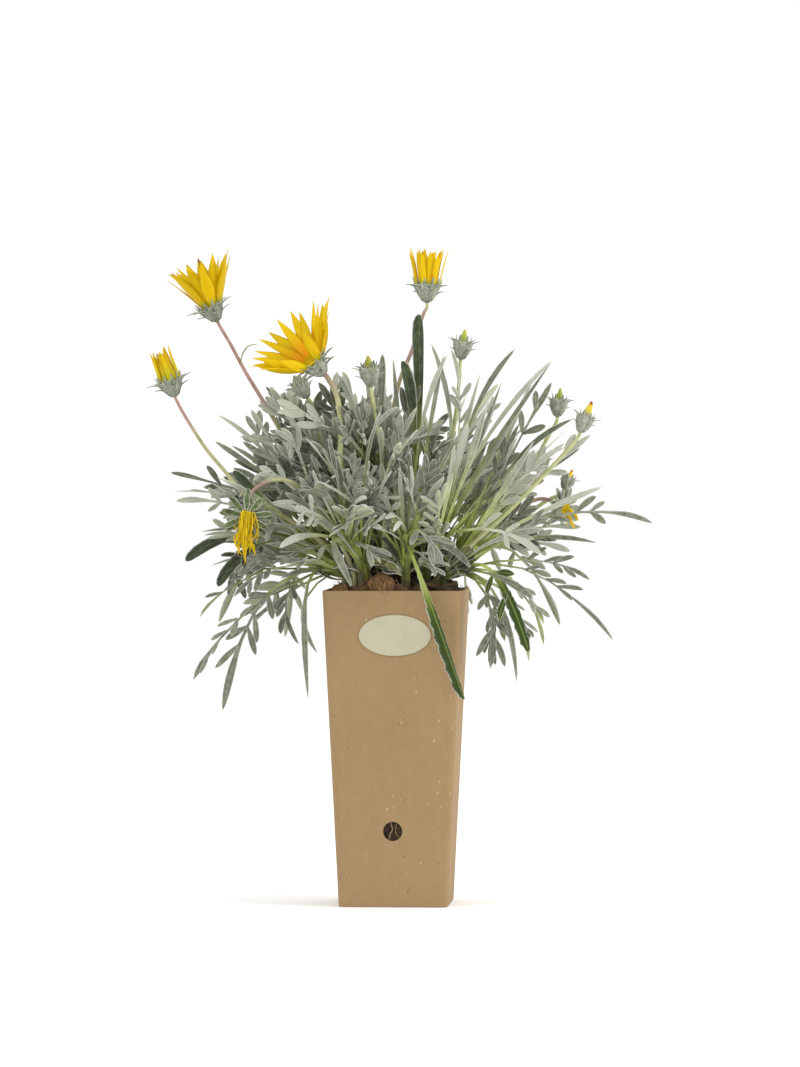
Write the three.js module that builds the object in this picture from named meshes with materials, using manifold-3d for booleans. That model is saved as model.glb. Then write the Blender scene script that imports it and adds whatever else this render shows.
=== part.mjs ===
// A silver-leaved gazania growing in a tall, square, tapered cardboard pot with an oval label.
// Millimetres, +Z up. The origin is the centre of the pot's underside and -Y is the labelled front.

import * as THREE from "three";
import { mergeVertices } from "three/addons/utils/BufferGeometryUtils.js";
import Module from "manifold-3d";

const wasm = await Module();
wasm.setup();

// ---------------------------------------------------------------- driving dimensions

const POT = { top: 80, base: 62.6, height: 181, wall: 1.4, floor: 2, corner: 4, cornerSteps: 2 };
const HOLE = { radius: 5.5, z: 43.5, sides: 14 };
const LABEL = { width: 41, height: 23.4, x: 1.6, z: 155.6, thickness: 0.5, sides: 12 };
const SOIL = { top: 175, wallGap: 0.7, grid: 5, mound: 7, swell: 2 };
const SEAT = 0.3; // clearance between pieces that rest on or in each other
const PLANT_TURN = 3.8; // degrees that the plant is turned in its pot
const FOOT_DEPTH = 9; // how far a stem stands in the soil
const BLADE = 0.65; // thickness of leaves, bracts and petals
const STEPS = 12; // straight runs in the centre line of a leaf
const STEM = { foot: 2.4, crown: 1.8, steps: 4 }; // radius of a leafy stem low down and at its crown
const STALK = { foot: 1.5, top: 1.1 }; // radius of a flower's stalk in the soil and under its cup
const TUBE_SIDES = 5;
const COLLAR = 13; // how far above the soil's edge a stem starts to lean
const CUP = { height: 10.5, radius: 7.4 }; // a full-grown cup; others keep its proportions
const BUD = [[0, 1.4], [2.4, 4.2], [7, 6.1], [12, 4.6], [19, 0.5]]; // height and radius up a bud
const HUSKS = [[-7, -32, 9, 12], [-30, -33, 5, 7]]; // coir lumps: x, y, radius, height
const ROOTS = { x: [-1.6, 0.4, 2.9], radius: 0.6, reach: 5 }; // thin roots that the pot's hole shows

const rad = THREE.MathUtils.degToRad;
const V = (x, y, z) => new THREE.Vector3(x, y, z);
const UP = V(0, 0, 1);
const lerp = THREE.MathUtils.lerp;

// Half the pot's outer width at a height.
const potHalf = (z) => lerp(POT.base, POT.top, z / POT.height) / 2;

// ---------------------------------------------------------------- the plant's layout
// Plant frame: x to the right and y to the back, as seen from in front. Points are [x, y, z].

// Leafy shoots: foot in the soil, crown where the leaves crowd, own leaves, their length and look.
const SHOOTS = [
  { name: "left_low", foot: [-27, -15], crown: [-43, -25, 194], leaves: 3, length: 62, open: 1.25 },
  { name: "left_mid", foot: [-29, -4], crown: [-58, -14, 212], leaves: 4, length: 60, open: 1.0 },
  { name: "left_upper", foot: [-21, 6], crown: [-62, 4, 238], leaves: 5, length: 56, open: 0.8 },
  { name: "left_front", foot: [-17, -25], crown: [-34, -44, 216], leaves: 5, length: 48, open: 1.0 },
  { name: "top_left", foot: [-13, 2], crown: [-44, -8, 256], leaves: 5, length: 48, open: 0.62 },
  { name: "top", foot: [-5, -9], crown: [-14, -14, 258], leaves: 5, length: 50, open: 0.6 },
  { name: "centre_front", foot: [5, -26], crown: [6, -38, 214], leaves: 4, length: 46, open: 1.0 },
  { name: "centre", foot: [7, 1], crown: [12, -2, 240], leaves: 4, length: 58, open: 0.7 },
  { name: "right_upper", foot: [17, -7], crown: [30, -14, 222], leaves: 3, length: 72, open: 0.75 },
  { name: "right", foot: [28, -2], crown: [46, -8, 206], leaves: 3, length: 72, open: 0.85 },
  { name: "right_low", foot: [27, -17], crown: [42, -26, 194], leaves: 3, length: 62, open: 1.15 },
  { name: "back_left", foot: [-26, 17], crown: [-52, 36, 206], leaves: 4, length: 66, open: 1.05 },
  { name: "back", foot: [-3, 27], crown: [-6, 52, 206], leaves: 4, length: 66, open: 1.05 },
  { name: "back_right", foot: [26, 17], crown: [48, 38, 206], leaves: 4, length: 66, open: 1.05 },
  { name: "back_top_left", foot: [-11, 17], crown: [-34, 28, 246], leaves: 5, length: 54, open: 0.75 },
  { name: "back_top_right", foot: [13, 18], crown: [26, 30, 242], leaves: 5, length: 60, open: 0.75 },
];

// Leaves that give the plant its outline: shoot, knee, tip, half-width and shape.
const PLACED = [
  ["left_low", [-84, -34, 196], [-99, -38, 113], 3.0, "lobed"],
  ["left_low", [-82, -50, 190], [-115, -56, 131], 2.6, "lobed"],
  ["left_low", [-58, -60, 200], [-50, -66, 121], 2.6, "plain"],
  ["left_low", [-78, -14, 190], [-56, -20, 150], 2.4, "lobed"],
  ["left_low", [-66, -36, 176], [-45, -50, 146], 2.0, "plain"],
  ["left_mid", [-94, -34, 222], [-120, -38, 198], 3.4, "plain"],
  ["left_mid", [-84, -50, 214], [-101, -60, 184], 3.6, "lobed"],
  ["left_mid", [-92, 6, 216], [-97, 4, 177], 2.6, "lobed"],
  ["left_mid", [-90, -22, 236], [-126, -26, 232], 2.4, "lobed"],
  ["left_upper", [-92, 4, 240], [-130, -2, 248], 2.6, "lobed"],
  ["left_upper", [-78, 0, 266], [-103, -4, 281], 2.4, "plain"],
  ["left_upper", [-76, 14, 262], [-87, 14, 281], 2.4, "lobed"],
  ["left_upper", [-80, -12, 250], [-104, -16, 266], 2.2, "plain"],
  ["left_front", [-44, -58, 214], [-26, -62, 184], 3.6, "plain"],
  ["left_front", [-52, -58, 218], [-66, -66, 206], 2.8, "plain"],
  ["left_front", [-24, -60, 240], [-20, -62, 246], 3.0, "lobed"],
  ["top_left", [-58, -4, 276], [-73, -2, 297], 2.6, "lobed"],
  ["top_left", [-52, -14, 280], [-62, -18, 291], 2.4, "lobed"],
  ["top_left", [-38, 0, 286], [-34, 2, 306], 2.4, "lobed"],
  ["top", [-9, -20, 290], [-8, -20, 316], 3.0, "plain"],
  ["top", [-22, -12, 284], [-31, -10, 306], 2.4, "lobed"],
  ["centre_front", [13, -46, 194], [38.5, -49, 120], 3.7, "strap"],
  ["centre_front", [12, -56, 226], [26, -64, 196], 3.0, "lobed"],
  ["centre_front", [-8, -54, 236], [-6, -58, 240], 2.8, "lobed"],
  ["centre", [15, -6, 290], [13, -4, 339], 3.4, "strap"],
  ["centre", [12, -14, 280], [3, -16, 312], 2.8, "strap"],
  ["centre", [10, -20, 286], [29, -24, 316], 2.4, "plain"],
  ["right_upper", [40, -14, 280], [20, -10, 322], 2.2, "plain"],
  ["right_upper", [38, -18, 288], [68, -22, 319], 2.3, "plain"],
  ["right_upper", [44, -8, 268], [90, -6, 313], 2.3, "plain"],
  ["right_upper", [44, 2, 284], [31, 2, 319], 2.0, "lobed"],
  ["right", [66, 2, 262], [89, 4, 300], 2.8, "lobed"],
  ["right", [60, -18, 262], [101, -26, 279], 2.3, "plain"],
  ["right", [72, 12, 240], [112, 16, 270], 2.4, "lobed"],
  ["right", [80, -14, 226], [118, -20, 240], 2.4, "plain"],
  ["right", [98, -2, 238], [147, -6, 219], 2.6, "lobed"],
  ["right_low", [58, -46, 206], [78, -54, 145], 3.0, "lobed"],
  ["right_low", [78, -10, 208], [124, -14, 152], 2.6, "lobed"],
  ["right_low", [84, -28, 206], [110, -34, 187], 2.2, "lobed"],
  ["right_low", [64, -4, 190], [69, -8, 128], 2.2, "plain"],
  ["right_low", [60, -34, 184], [54, -38, 138], 2.6, "lobed"],
  ["back_left", [-84, 48, 216], [-104, 62, 160], 2.8, "lobed"],
  ["back_left", [-58, 76, 216], [-66, 98, 150], 2.8, "lobed"],
  ["back", [-14, 92, 222], [-20, 118, 166], 2.8, "lobed"],
  ["back", [14, 84, 200], [22, 98, 138], 2.6, "plain"],
  ["back_right", [74, 60, 216], [96, 78, 158], 2.8, "lobed"],
  ["back_right", [50, 78, 226], [62, 112, 188], 2.6, "lobed"],
  ["back_top_left", [-52, 52, 280], [-72, 70, 292], 2.6, "lobed"],
  ["back_top_right", [42, 50, 282], [60, 66, 300], 2.6, "plain"],
];

// Flower heads: the cup's base, the way it faces and its stalk's run down to the soil. Blooms also have
// the count, length, half-width and spread of their petals, the cup's radius and its bracts' spread.
const HEADS = [
  { name: "bloom_upper_left", base: [-103, 2, 335], axis: [-0.42, -0.12, 0.9], rays: 13, ray: 29,
    width: 3.6, spread: 29, cup: 7.2, bractSpread: 52,
    stalk: [[-95, 3, 321], [-87, 4, 306], [-78, 6, 291], [-68, 10, 274], [-52, 12, 244], [-32, 10, 208],
      [-20, 12, 186]] },
  { name: "bloom_open", base: [-41, -36, 304], axis: [-0.62, -0.36, 0.7], rays: 15, ray: 31,
    width: 3.9, spread: 47, cup: 7.6, bractSpread: 72,
    stalk: [[-34, -31, 292], [-32, -31, 276], [-32, -31, 256], [-30, -30, 232], [-24, -22, 204],
      [-20, -16, 186]] },
  { name: "bloom_top", base: [17.5, 10, 346], axis: [0.02, -0.04, 1], rays: 12, ray: 20,
    width: 2.3, spread: 15, cup: 7.6, bractSpread: 40,
    stalk: [[15, 10, 338], [9, 10, 319], [1, 10, 298], [-3, 10, 270], [-1, 9, 230], [0, 9, 186]] },
  { name: "bloom_left", base: [-126.5, -20, 291.5], axis: [-0.33, -0.05, 0.94], rays: 10, ray: 18,
    width: 2.1, spread: 5, cup: 7.0, bractSpread: 42,
    stalk: [[-120, -22, 279], [-109, -24, 262], [-98, -28, 249], [-86, -34, 236], [-62, -34, 222],
      [-40, -20, 206], [-30, -12, 190]] },
  { name: "bloom_wilted", base: [-84, -60, 232], axis: [-0.08, -0.5, -0.86], rays: 9, ray: 27,
    width: 1.2, spread: 24, cup: 5.6, bractSpread: 88, wilted: true,
    stalk: [[-79, -53, 240], [-70, -50, 244], [-58, -48, 242], [-44, -34, 226], [-30, -24, 204],
      [-24, -22, 188]] },
  { name: "bloom_faded", base: [90, 20, 231], axis: [0.72, 0.05, -0.35], rays: 7, ray: 15,
    width: 1.1, spread: 30, cup: 4.6, bractSpread: 76, wilted: true,
    stalk: [[80, 20, 232], [66, 19, 224], [50, 14, 209], [36, 10, 194], [27, 7, 184]] },
  { name: "bud_front", base: [-14.5, -32, 297], axis: [-0.1, -0.12, 1], bud: 1.0,
    stalk: [[-12.5, -31, 284], [-9, -29, 262], [-7, -26, 236], [-7, -22, 208], [-6, -19, 186]] },
  { name: "bud_upper_right", base: [37, 4, 313], axis: [0.14, -0.1, 1], bud: 0.95,
    stalk: [[36, 4, 300], [33, 5, 274], [26, 6, 240], [17, 7, 208], [13, 8, 186]] },
  { name: "bud_right", base: [92.5, 6, 280], axis: [0.12, 0, 1], bud: 0.9,
    stalk: [[87, 7, 268], [76, 8, 248], [60, 8, 226], [40, 8, 202], [20, 6, 184]] },
  { name: "bud_far_right", base: [105, -14, 271], axis: [0.36, -0.1, 0.93], bud: 0.9,
    stalk: [[97, -13, 260], [82, -14, 244], [62, -16, 224], [42, -14, 206], [24, -12, 187]] },
  { name: "bud_low_right", base: [97, 30, 238], axis: [0.4, 0.1, 0.9], bud: 0.68,
    stalk: [[86, 29, 231], [72, 26, 220], [54, 21, 206], [34, 12, 191], [22, 10, 182]] },
  { name: "bud_left", base: [-51, -12, 291], axis: [-0.5, -0.3, 0.8], bud: 0.9,
    stalk: [[-47, -11, 282], [-42, -16, 262], [-34, -17, 238], [-24, -13, 206], [-14, -14, 186]] },
];

// ---------------------------------------------------------------- seeded randomness

function makeRandom(seed) {
  let state = seed >>> 0;
  const next = () => {
    state = (Math.imul(state, 1664525) + 1013904223) >>> 0;
    return state / 4294967296;
  };
  for (let i = 0; i < 5; i++) next();
  return next;
}

// ---------------------------------------------------------------- centre lines and frames

// A run that starts in one direction and is pulled aside, or down, along its length.
function sweep(root, direction, length, pull, steps = STEPS) {
  const points = [root.clone()];
  const heading = direction.clone().normalize();
  for (let i = 0; i < steps; i++) {
    heading.addScaledVector(pull, 1 / steps).normalize();
    points.push(points[i].clone().addScaledVector(heading, length / steps));
  }
  return points;
}

// A quadratic bend from root to tip by way of a knee.
function bend(root, knee, tip, steps = STEPS) {
  const points = [];
  for (let i = 0; i <= steps; i++) {
    const t = i / steps;
    const p = V(0, 0, 0);
    p.addScaledVector(root, (1 - t) * (1 - t)).addScaledVector(knee, 2 * t * (1 - t));
    points.push(p.addScaledVector(tip, t * t));
  }
  return points;
}

// A smooth run through every given point (Catmull-Rom), with a few steps from each to the next.
function smoothRun(through, steps) {
  const at = (i) => through[Math.min(Math.max(i, 0), through.length - 1)];
  const points = [];
  for (let i = 0; i < through.length - 1; i++) {
    for (let k = 0; k < steps; k++) {
      const t = k / steps;
      const p = V(0, 0, 0);
      p.addScaledVector(at(i - 1), ((-t + 2) * t - 1) * t * 0.5);
      p.addScaledVector(at(i), ((3 * t - 5) * t * t + 2) * 0.5);
      p.addScaledVector(at(i + 1), ((-3 * t + 4) * t + 1) * t * 0.5);
      p.addScaledVector(at(i + 2), (t - 1) * t * t * 0.5);
      points.push(p);
    }
  }
  points.push(at(through.length - 1).clone());
  return points;
}

// Tangent, side and face normal at each point; the side starts as given and turns by roll.
function framesAlong(points, side, roll = 0) {
  return points.map((p, i) => {
    const before = points[Math.max(i - 1, 0)];
    const after = points[Math.min(i + 1, points.length - 1)];
    const tangent = after.clone().sub(before).normalize();
    const across = side.clone().addScaledVector(tangent, -side.dot(tangent)).normalize();
    across.applyAxisAngle(tangent, (roll * i) / (points.length - 1));
    return { p, tangent, across, normal: tangent.clone().cross(across) };
  });
}

// A place on a blade: share along it, offset across it and lift off its face.
function placeOn(frames, along, across, lift) {
  const f = Math.min(Math.max(along, 0), 1) * (frames.length - 1);
  const i = Math.min(Math.floor(f), frames.length - 2);
  const t = f - i;
  const a = frames[i];
  const b = frames[i + 1];
  return a.p.clone().lerp(b.p, t)
    .addScaledVector(a.across.clone().lerp(b.across, t), across)
    .addScaledVector(a.normal.clone().lerp(b.normal, t), lift);
}

// ---------------------------------------------------------------- growing the plant

// Share of the full half-width at a share of the length: [share, width] pairs joined by lines.
const PROFILES = {
  plain: [[0, 0.34], [0.4, 0.45], [0.74, 1], [0.92, 0.66], [1, 0]],
  strap: [[0, 0.34], [0.3, 0.5], [0.66, 0.92], [0.94, 0.8], [1, 0]],
  lobed: [[0, 0.34], [0.42, 0.36], [0.5, 0.36], [0.63, 0.38], [0.71, 0.4], [0.88, 0.95], [1, 0]],
};
const LOBE_SPANS = [[0.42, 0.5], [0.63, 0.71]]; // where the pairs of side lobes sit on a lobed leaf

function widthAt(profile, share) {
  for (let i = 1; i < profile.length; i++) {
    const [s1, w1] = profile[i];
    const [s0, w0] = profile[i - 1];
    if (share <= s1) return w0 + ((w1 - w0) * (share - s0)) / (s1 - s0);
  }
  return 0;
}

// The spheres that a leaf must keep free of others: along its rib, and two in each side lobe.
function spheresOf(leaf) {
  const frames = framesAlong(leaf.points, leaf.side, leaf.roll);
  const spheres = [];
  const count = Math.max(8, Math.round(leaf.length / 3.6));
  for (let i = 1; i <= count; i++) {
    const share = i / count;
    const r = 1.0 + 0.75 * leaf.width * widthAt(PROFILES[leaf.shape], share);
    spheres.push({ c: placeOn(frames, share, 0, 0), r, outer: share > 0.45 });
  }
  for (const lobe of leaf.lobes) {
    for (const reach of [0.55, 1]) {
      const along = lobe.at + (reach * lobe.forward) / leaf.length;
      const c = placeOn(frames, along, lobe.hand * reach * lobe.out, reach * lobe.lift);
      spheres.push({ c, r: 1.9, outer: true });
    }
  }
  return spheres;
}

const CLEAR = 0.45; // least gap between the spheres of different nodes
const RIM_CLEAR = { above: 1.5, beside: 1.2 }; // least gap over the pot's rim and beside its walls
const grown = []; // every group of spheres so far: { owner, centre, reach, spheres }

function keep(owner, spheres) {
  const centre = V(0, 0, 0);
  for (const s of spheres) centre.addScaledVector(s.c, 1 / spheres.length);
  const reach = Math.max(...spheres.map((s) => s.c.distanceTo(centre) + s.r));
  grown.push({ owner, centre, reach, spheres });
}

// True where the spheres stay off the pot and off all that other nodes, and this one, already hold.
function isClear(owner, spheres) {
  const turn = rad(PLANT_TURN);
  for (const { c, r } of spheres) {
    const x = Math.abs(c.x * Math.cos(turn) - c.y * Math.sin(turn));
    const y = Math.abs(c.x * Math.sin(turn) + c.y * Math.cos(turn));
    const low = c.z < POT.height + RIM_CLEAR.above + r;
    if (low && Math.max(x, y) < potHalf(c.z) + RIM_CLEAR.beside + r) return false;
  }
  for (const other of grown) {
    const same = other.owner === owner;
    for (const a of spheres) {
      if (a.c.distanceTo(other.centre) > other.reach + a.r + CLEAR) continue;
      if (same && !a.outer) continue;
      for (const b of other.spheres) {
        if (same && !b.outer) continue;
        const least = same ? 0.6 * (a.r + b.r) : a.r + b.r + CLEAR;
        if (a.c.distanceToSquared(b.c) < least * least) return false;
      }
    }
  }
  return true;
}

function lobesFor(leaf, random) {
  if (leaf.shape !== "lobed") return [];
  const lobes = [];
  for (const [from, to] of LOBE_SPANS) {
    for (const hand of [-1, 1]) {
      if (random() < 0.2) continue;
      const reach = (7.5 + 5 * random()) * Math.min(leaf.width / 2.6, 1.1);
      lobes.push({ hand, from, to, at: (from + to) / 2, forward: 0.72 * reach, out: 0.7 * reach,
        lift: (0.1 + 0.25 * random()) * reach });
    }
  }
  return lobes;
}

function sideFor(axis, direction) {
  const side = axis.clone().cross(direction);
  return side.lengthSq() < 1e-4 ? V(1, 0, 0) : side.normalize();
}

// The side of a blade whose face looks outward and somewhat up, with a turn of its own.
function sideFacingOut(points, random) {
  const middle = points[STEPS / 2];
  const outward = middle.y < 12 ? -1 : 1;
  const face = V(1.2 * (random() - 0.5), outward * (0.5 + 0.6 * random()), 0.15 + 0.6 * random());
  return sideFor(face, points[STEPS].clone().sub(middle));
}

// The shoot's bare stem, foot to crown.
function stemOf(shoot) {
  const foot = V(...shoot.foot, SOIL.top - FOOT_DEPTH);
  const collar = V(...shoot.foot, SOIL.top + COLLAR);
  const crown = V(...shoot.crown);
  const knee = collar.clone().lerp(crown, 0.2);
  knee.z = lerp(collar.z, crown.z, 0.65);
  return [foot, ...bend(collar, knee, crown, STEM.steps)];
}

// A point of the stem at a share of the way from its collar to its crown.
function onStem(shoot, share) {
  const f = share * STEM.steps;
  const i = Math.min(Math.floor(f), STEM.steps - 1);
  return shoot.stem[1 + i].clone().lerp(shoot.stem[2 + i], f - i);
}

const TRIES = 70;

// Gives the leaf its lobes and keeps it if it is clear of everything.
function settle(shoot, leaf, random) {
  leaf.lobes = lobesFor(leaf, random);
  const spheres = spheresOf(leaf);
  if (!isClear(shoot.name, spheres)) return false;
  keep(shoot.name, spheres);
  shoot.blades.push(leaf);
  return true;
}

// A leaf with a given knee and tip; it moves only to the front or the back to stay clear.
function placeLeaf(shoot, [, knee, tip, width, shape], random) {
  for (let attempt = 0; attempt < TRIES; attempt++) {
    const shift = (random() - 0.5) * 1.4 * attempt;
    const root = onStem(shoot, 0.55 + 0.4 * random());
    const kneeAt = V(knee[0], knee[1] + 0.6 * shift, knee[2]);
    const tipAt = V(tip[0], tip[1] + shift, tip[2]);
    const points = bend(root, kneeAt, tipAt);
    const side = sideFacingOut(points, random);
    const length = (root.distanceTo(kneeAt) + kneeAt.distanceTo(tipAt) + root.distanceTo(tipAt)) / 2;
    if (settle(shoot, { points, length, side, roll: (random() - 0.5) * 0.9, width, shape }, random)) return;
  }
}

const GOLDEN = 2.399963;

// One of a shoot's own leaves: the outer ones spread wide and the inner ones stand up.
function growLeaf(shoot, index, random) {
  const rank = (index + 0.5) / shoot.leaves;
  const axis = onStem(shoot, 1).sub(onStem(shoot, 0.7)).normalize();
  axis.lerp(UP, 0.45).normalize();
  const e1 = sideFor(UP, V(shoot.crown[0], shoot.crown[1], 0));
  const e2 = axis.clone().cross(e1).normalize();
  const around = index * GOLDEN + shoot.foot[0];
  for (let attempt = 0; attempt < TRIES; attempt++) {
    const wander = 0.12 + 0.016 * attempt;
    const turn = around + (random() - 0.5) * 6 * wander;
    const lean = shoot.open * lerp(1.15, 0.28, rank) + (random() - 0.5) * 2 * wander;
    const radial = e1.clone().multiplyScalar(Math.cos(turn)).addScaledVector(e2, Math.sin(turn));
    const heading = axis.clone().multiplyScalar(Math.cos(lean)).addScaledVector(radial, Math.sin(lean));
    const length = shoot.length * (0.82 + 0.36 * random()) * (1 - 0.004 * attempt);
    const droop = lerp(0.95, 0.3, rank) * (0.6 + 0.8 * random());
    const root = onStem(shoot, lerp(0.45, 0.97, rank));
    const points = sweep(root, heading, length, V(0, 0, -droop));
    const side = sideFacingOut(points, random);
    const roll = (random() - 0.5) * 1.1;
    const width = 2.2 + 0.9 * random();
    const shape = random() < 0.66 ? "lobed" : "plain";
    if (settle(shoot, { points, length, side, roll, width, shape }, random)) return;
  }
}

// The stalk's centre line from its foot in the soil to just under the cup.
function stalkOf(head) {
  const base = V(...head.base);
  const axis = V(...head.axis).normalize();
  const last = head.stalk[head.stalk.length - 1];
  const through = [V(last[0], last[1], SOIL.top - FOOT_DEPTH)];
  for (const p of [...head.stalk].reverse()) through.push(V(...p));
  through.push(base.clone().addScaledVector(axis, -3), base.clone().addScaledVector(axis, -SEAT));
  return through;
}

const stemRadius = (share) => lerp(STEM.foot, STEM.crown, share);
const stalkRadius = (share) => lerp(STALK.foot, STALK.top, share);

// The spheres that a flower head and its stalk hold: the stalk, the cup with its bracts, the petals.
function spheresOfHead(head) {
  const axis = V(...head.axis).normalize();
  const base = V(...head.base);
  const spheres = smoothRun(head.run, 5).map((c) => ({ c, r: STALK.foot + 0.2, outer: true }));
  const r = 10 * (head.bud ?? 1);
  for (const reach of [0.35, 1.1]) {
    spheres.push({ c: base.clone().addScaledVector(axis, r * reach), r, outer: true });
  }
  if (!head.bud) {
    const c = base.clone().addScaledVector(axis, 6 + 0.7 * head.ray);
    spheres.push({ c, r: 5 + 0.75 * head.ray * Math.sin(rad(head.spread)), outer: true });
  }
  return spheres;
}

function growPlant() {
  const random = makeRandom(20);
  for (const head of HEADS) {
    head.run = stalkOf(head);
    keep(head.name, spheresOfHead(head));
  }
  for (const shoot of SHOOTS) {
    shoot.blades = [];
    shoot.stem = stemOf(shoot);
    keep(shoot.name, smoothRun(shoot.stem, 2).map((c) => ({ c, r: STEM.foot + 0.3, outer: false })));
  }
  for (const row of PLACED) placeLeaf(SHOOTS.find((s) => s.name === row[0]), row, random);
  const most = Math.max(...SHOOTS.map((s) => s.leaves));
  for (let i = 0; i < most; i++) {
    for (const shoot of SHOOTS) if (i < shoot.leaves) growLeaf(shoot, i, random);
  }
}

// ---------------------------------------------------------------- solids

// A closed mesh from positions and triangles, as a solid.
function solidFrom(positions, triangles) {
  const flat = new Float32Array(positions.length * 3);
  positions.forEach((p, i) => flat.set([p.x, p.y, p.z], i * 3));
  const mesh = new wasm.Mesh({ numProp: 3, vertProperties: flat, triVerts: new Uint32Array(triangles) });
  const made = new wasm.Manifold(mesh);
  if (made.volume() >= 0) return made;
  for (let i = 0; i < triangles.length; i += 3) {
    [triangles[i + 1], triangles[i + 2]] = [triangles[i + 2], triangles[i + 1]];
  }
  const flipped = { numProp: 3, vertProperties: flat, triVerts: new Uint32Array(triangles) };
  return new wasm.Manifold(new wasm.Mesh(flipped));
}

function solidOfGeometry(geometry) {
  const bare = geometry.clone();
  bare.deleteAttribute("normal");
  bare.deleteAttribute("uv");
  const merged = mergeVertices(bare, 1e-4);
  const position = merged.getAttribute("position");
  const points = [];
  for (let i = 0; i < position.count; i++) points.push(V().fromBufferAttribute(position, i));
  return solidFrom(points, [...merged.index.array]);
}

function geometryOf(solid) {
  const mesh = solid.getMesh();
  const geometry = new THREE.BufferGeometry();
  geometry.setAttribute("position", new THREE.BufferAttribute(mesh.vertProperties, 3));
  geometry.setIndex(new THREE.BufferAttribute(mesh.triVerts, 1));
  geometry.computeVertexNormals();
  return geometry;
}

// One closed body: the largest of the union, so scraps go and sealed hollows are filled.
function fuse(solids) {
  const bodies = wasm.Manifold.union(solids).decompose();
  return bodies.sort((a, b) => b.volume() - a.volume())[0];
}

// Rings of equally many points, skinned into a closed solid with flat ends.
function loft(rings) {
  const n = rings[0].length;
  const triangles = [];
  for (let r = 0; r < rings.length - 1; r++) {
    for (let i = 0; i < n; i++) {
      const a = r * n + i;
      const b = r * n + ((i + 1) % n);
      triangles.push(a, b, b + n, a, b + n, a + n);
    }
  }
  const top = (rings.length - 1) * n;
  for (let i = 1; i < n - 1; i++) triangles.push(0, i + 1, i, top, top + i, top + i + 1);
  return solidFrom(rings.flat(), triangles);
}

// A round tube along points, with a radius at each.
function tube(points, radiusAt, sides = TUBE_SIDES) {
  const frames = framesAlong(points, sideFor(V(0.31, 0.95, 0.05), points[1].clone().sub(points[0])));
  return loft(frames.map((f, i) => {
    const radius = radiusAt(i / (points.length - 1));
    return Array.from({ length: sides }, (_, k) => {
      const a = (k / sides) * 2 * Math.PI;
      return f.p.clone().addScaledVector(f.across, radius * Math.cos(a))
        .addScaledVector(f.normal, radius * Math.sin(a));
    });
  }));
}

// A solid of revolution about an axis: [height, radius] pairs from base to top.
function turned(base, axis, profile, sides = 7) {
  const e1 = sideFor(V(0.2, 0.9, 0.38), axis);
  const e2 = axis.clone().cross(e1);
  return loft(profile.map(([height, radius]) => Array.from({ length: sides }, (_, k) => {
    const a = (k / sides) * 2 * Math.PI;
    return base.clone().addScaledVector(axis, height)
      .addScaledVector(e1, radius * Math.cos(a)).addScaledVector(e2, radius * Math.sin(a));
  })));
}

// The outline of a blade: [along, across, lift] places, the triangles between them and its open edges.
function bladeOutline({ profile, width, lobes = [], length }) {
  const places = [];
  const faces = [];
  const rims = { [-1]: [], [1]: [] }; // the places down the left (-1) and the right (1)
  profile.forEach(([share, w], i) => {
    const pointed = w === 0;
    places.push(...(pointed ? [[share, 0, 0]] : [[share, -w * width, 0], [share, w * width, 0]]));
    rims[-1].push(places.length - (pointed ? 1 : 2));
    rims[1].push(places.length - 1);
    if (i === 0) return;
    const [l0, l1] = rims[-1].slice(-2);
    const [r0, r1] = rims[1].slice(-2);
    faces.push([l0, r0, r1]);
    if (!pointed) faces.push([l0, r1, l1]);
  });
  const edges = [[rims[-1][0], rims[1][0]]];
  const addEdge = (hand, a, b) => edges.push(hand > 0 ? [a, b] : [b, a]);
  const addFace = (hand, a, b, c) => faces.push(hand > 0 ? [a, b, c] : [a, c, b]);
  for (const hand of [-1, 1]) {
    for (let i = 0; i < profile.length - 1; i++) {
      const [a, b] = rims[hand].slice(i, i + 2);
      const lobe = lobes.find((l) => l.hand === hand && l.from === profile[i][0]);
      if (!lobe) {
        addEdge(hand, a, b);
        continue;
      }
      const c = places.length; // the lobe's broad back corner, and then its tip
      places.push([lobe.at + (0.62 * lobe.forward) / length - 0.02, hand * 1.06 * lobe.out, 0.8 * lobe.lift]);
      places.push([lobe.at + (1.15 * lobe.forward) / length, hand * 1.26 * lobe.out, lobe.lift]);
      addFace(hand, a, c, c + 1);
      addFace(hand, a, c + 1, b);
      for (const edge of [[a, c], [c, c + 1], [c + 1, b]]) addEdge(hand, ...edge);
    }
  }
  return { places, faces, edges };
}

// A thin blade along a run: both faces are split alike, with a wall round their edge.
function blade(leaf) {
  const frames = framesAlong(leaf.points, leaf.side, leaf.roll);
  const { places, faces, edges } = bladeOutline(leaf);
  const n = places.length;
  const vertices = [];
  for (const half of [-BLADE / 2, BLADE / 2]) {
    for (const [along, across, lift] of places) vertices.push(placeOn(frames, along, across, lift + half));
  }
  const triangles = [];
  for (const [a, b, c] of faces) triangles.push(a + n, b + n, c + n, a, c, b);
  for (const [a, b] of edges) triangles.push(a, b, b + n, a, b + n, a + n);
  return solidFrom(vertices, triangles);
}

// ---------------------------------------------------------------- shoots, stalks and heads

function shootSolid(shoot) {
  const stem = tube(shoot.stem, stemRadius);
  const blades = shoot.blades.map((leaf) => blade({ ...leaf, profile: PROFILES[leaf.shape] }));
  return fuse([stem, ...blades]);
}

const BRACT_PROFILE = [[0, 1], [1, 0]];
const RAY_PROFILE = [[0, 0.38], [0.6, 1], [1, 0]];

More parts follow.
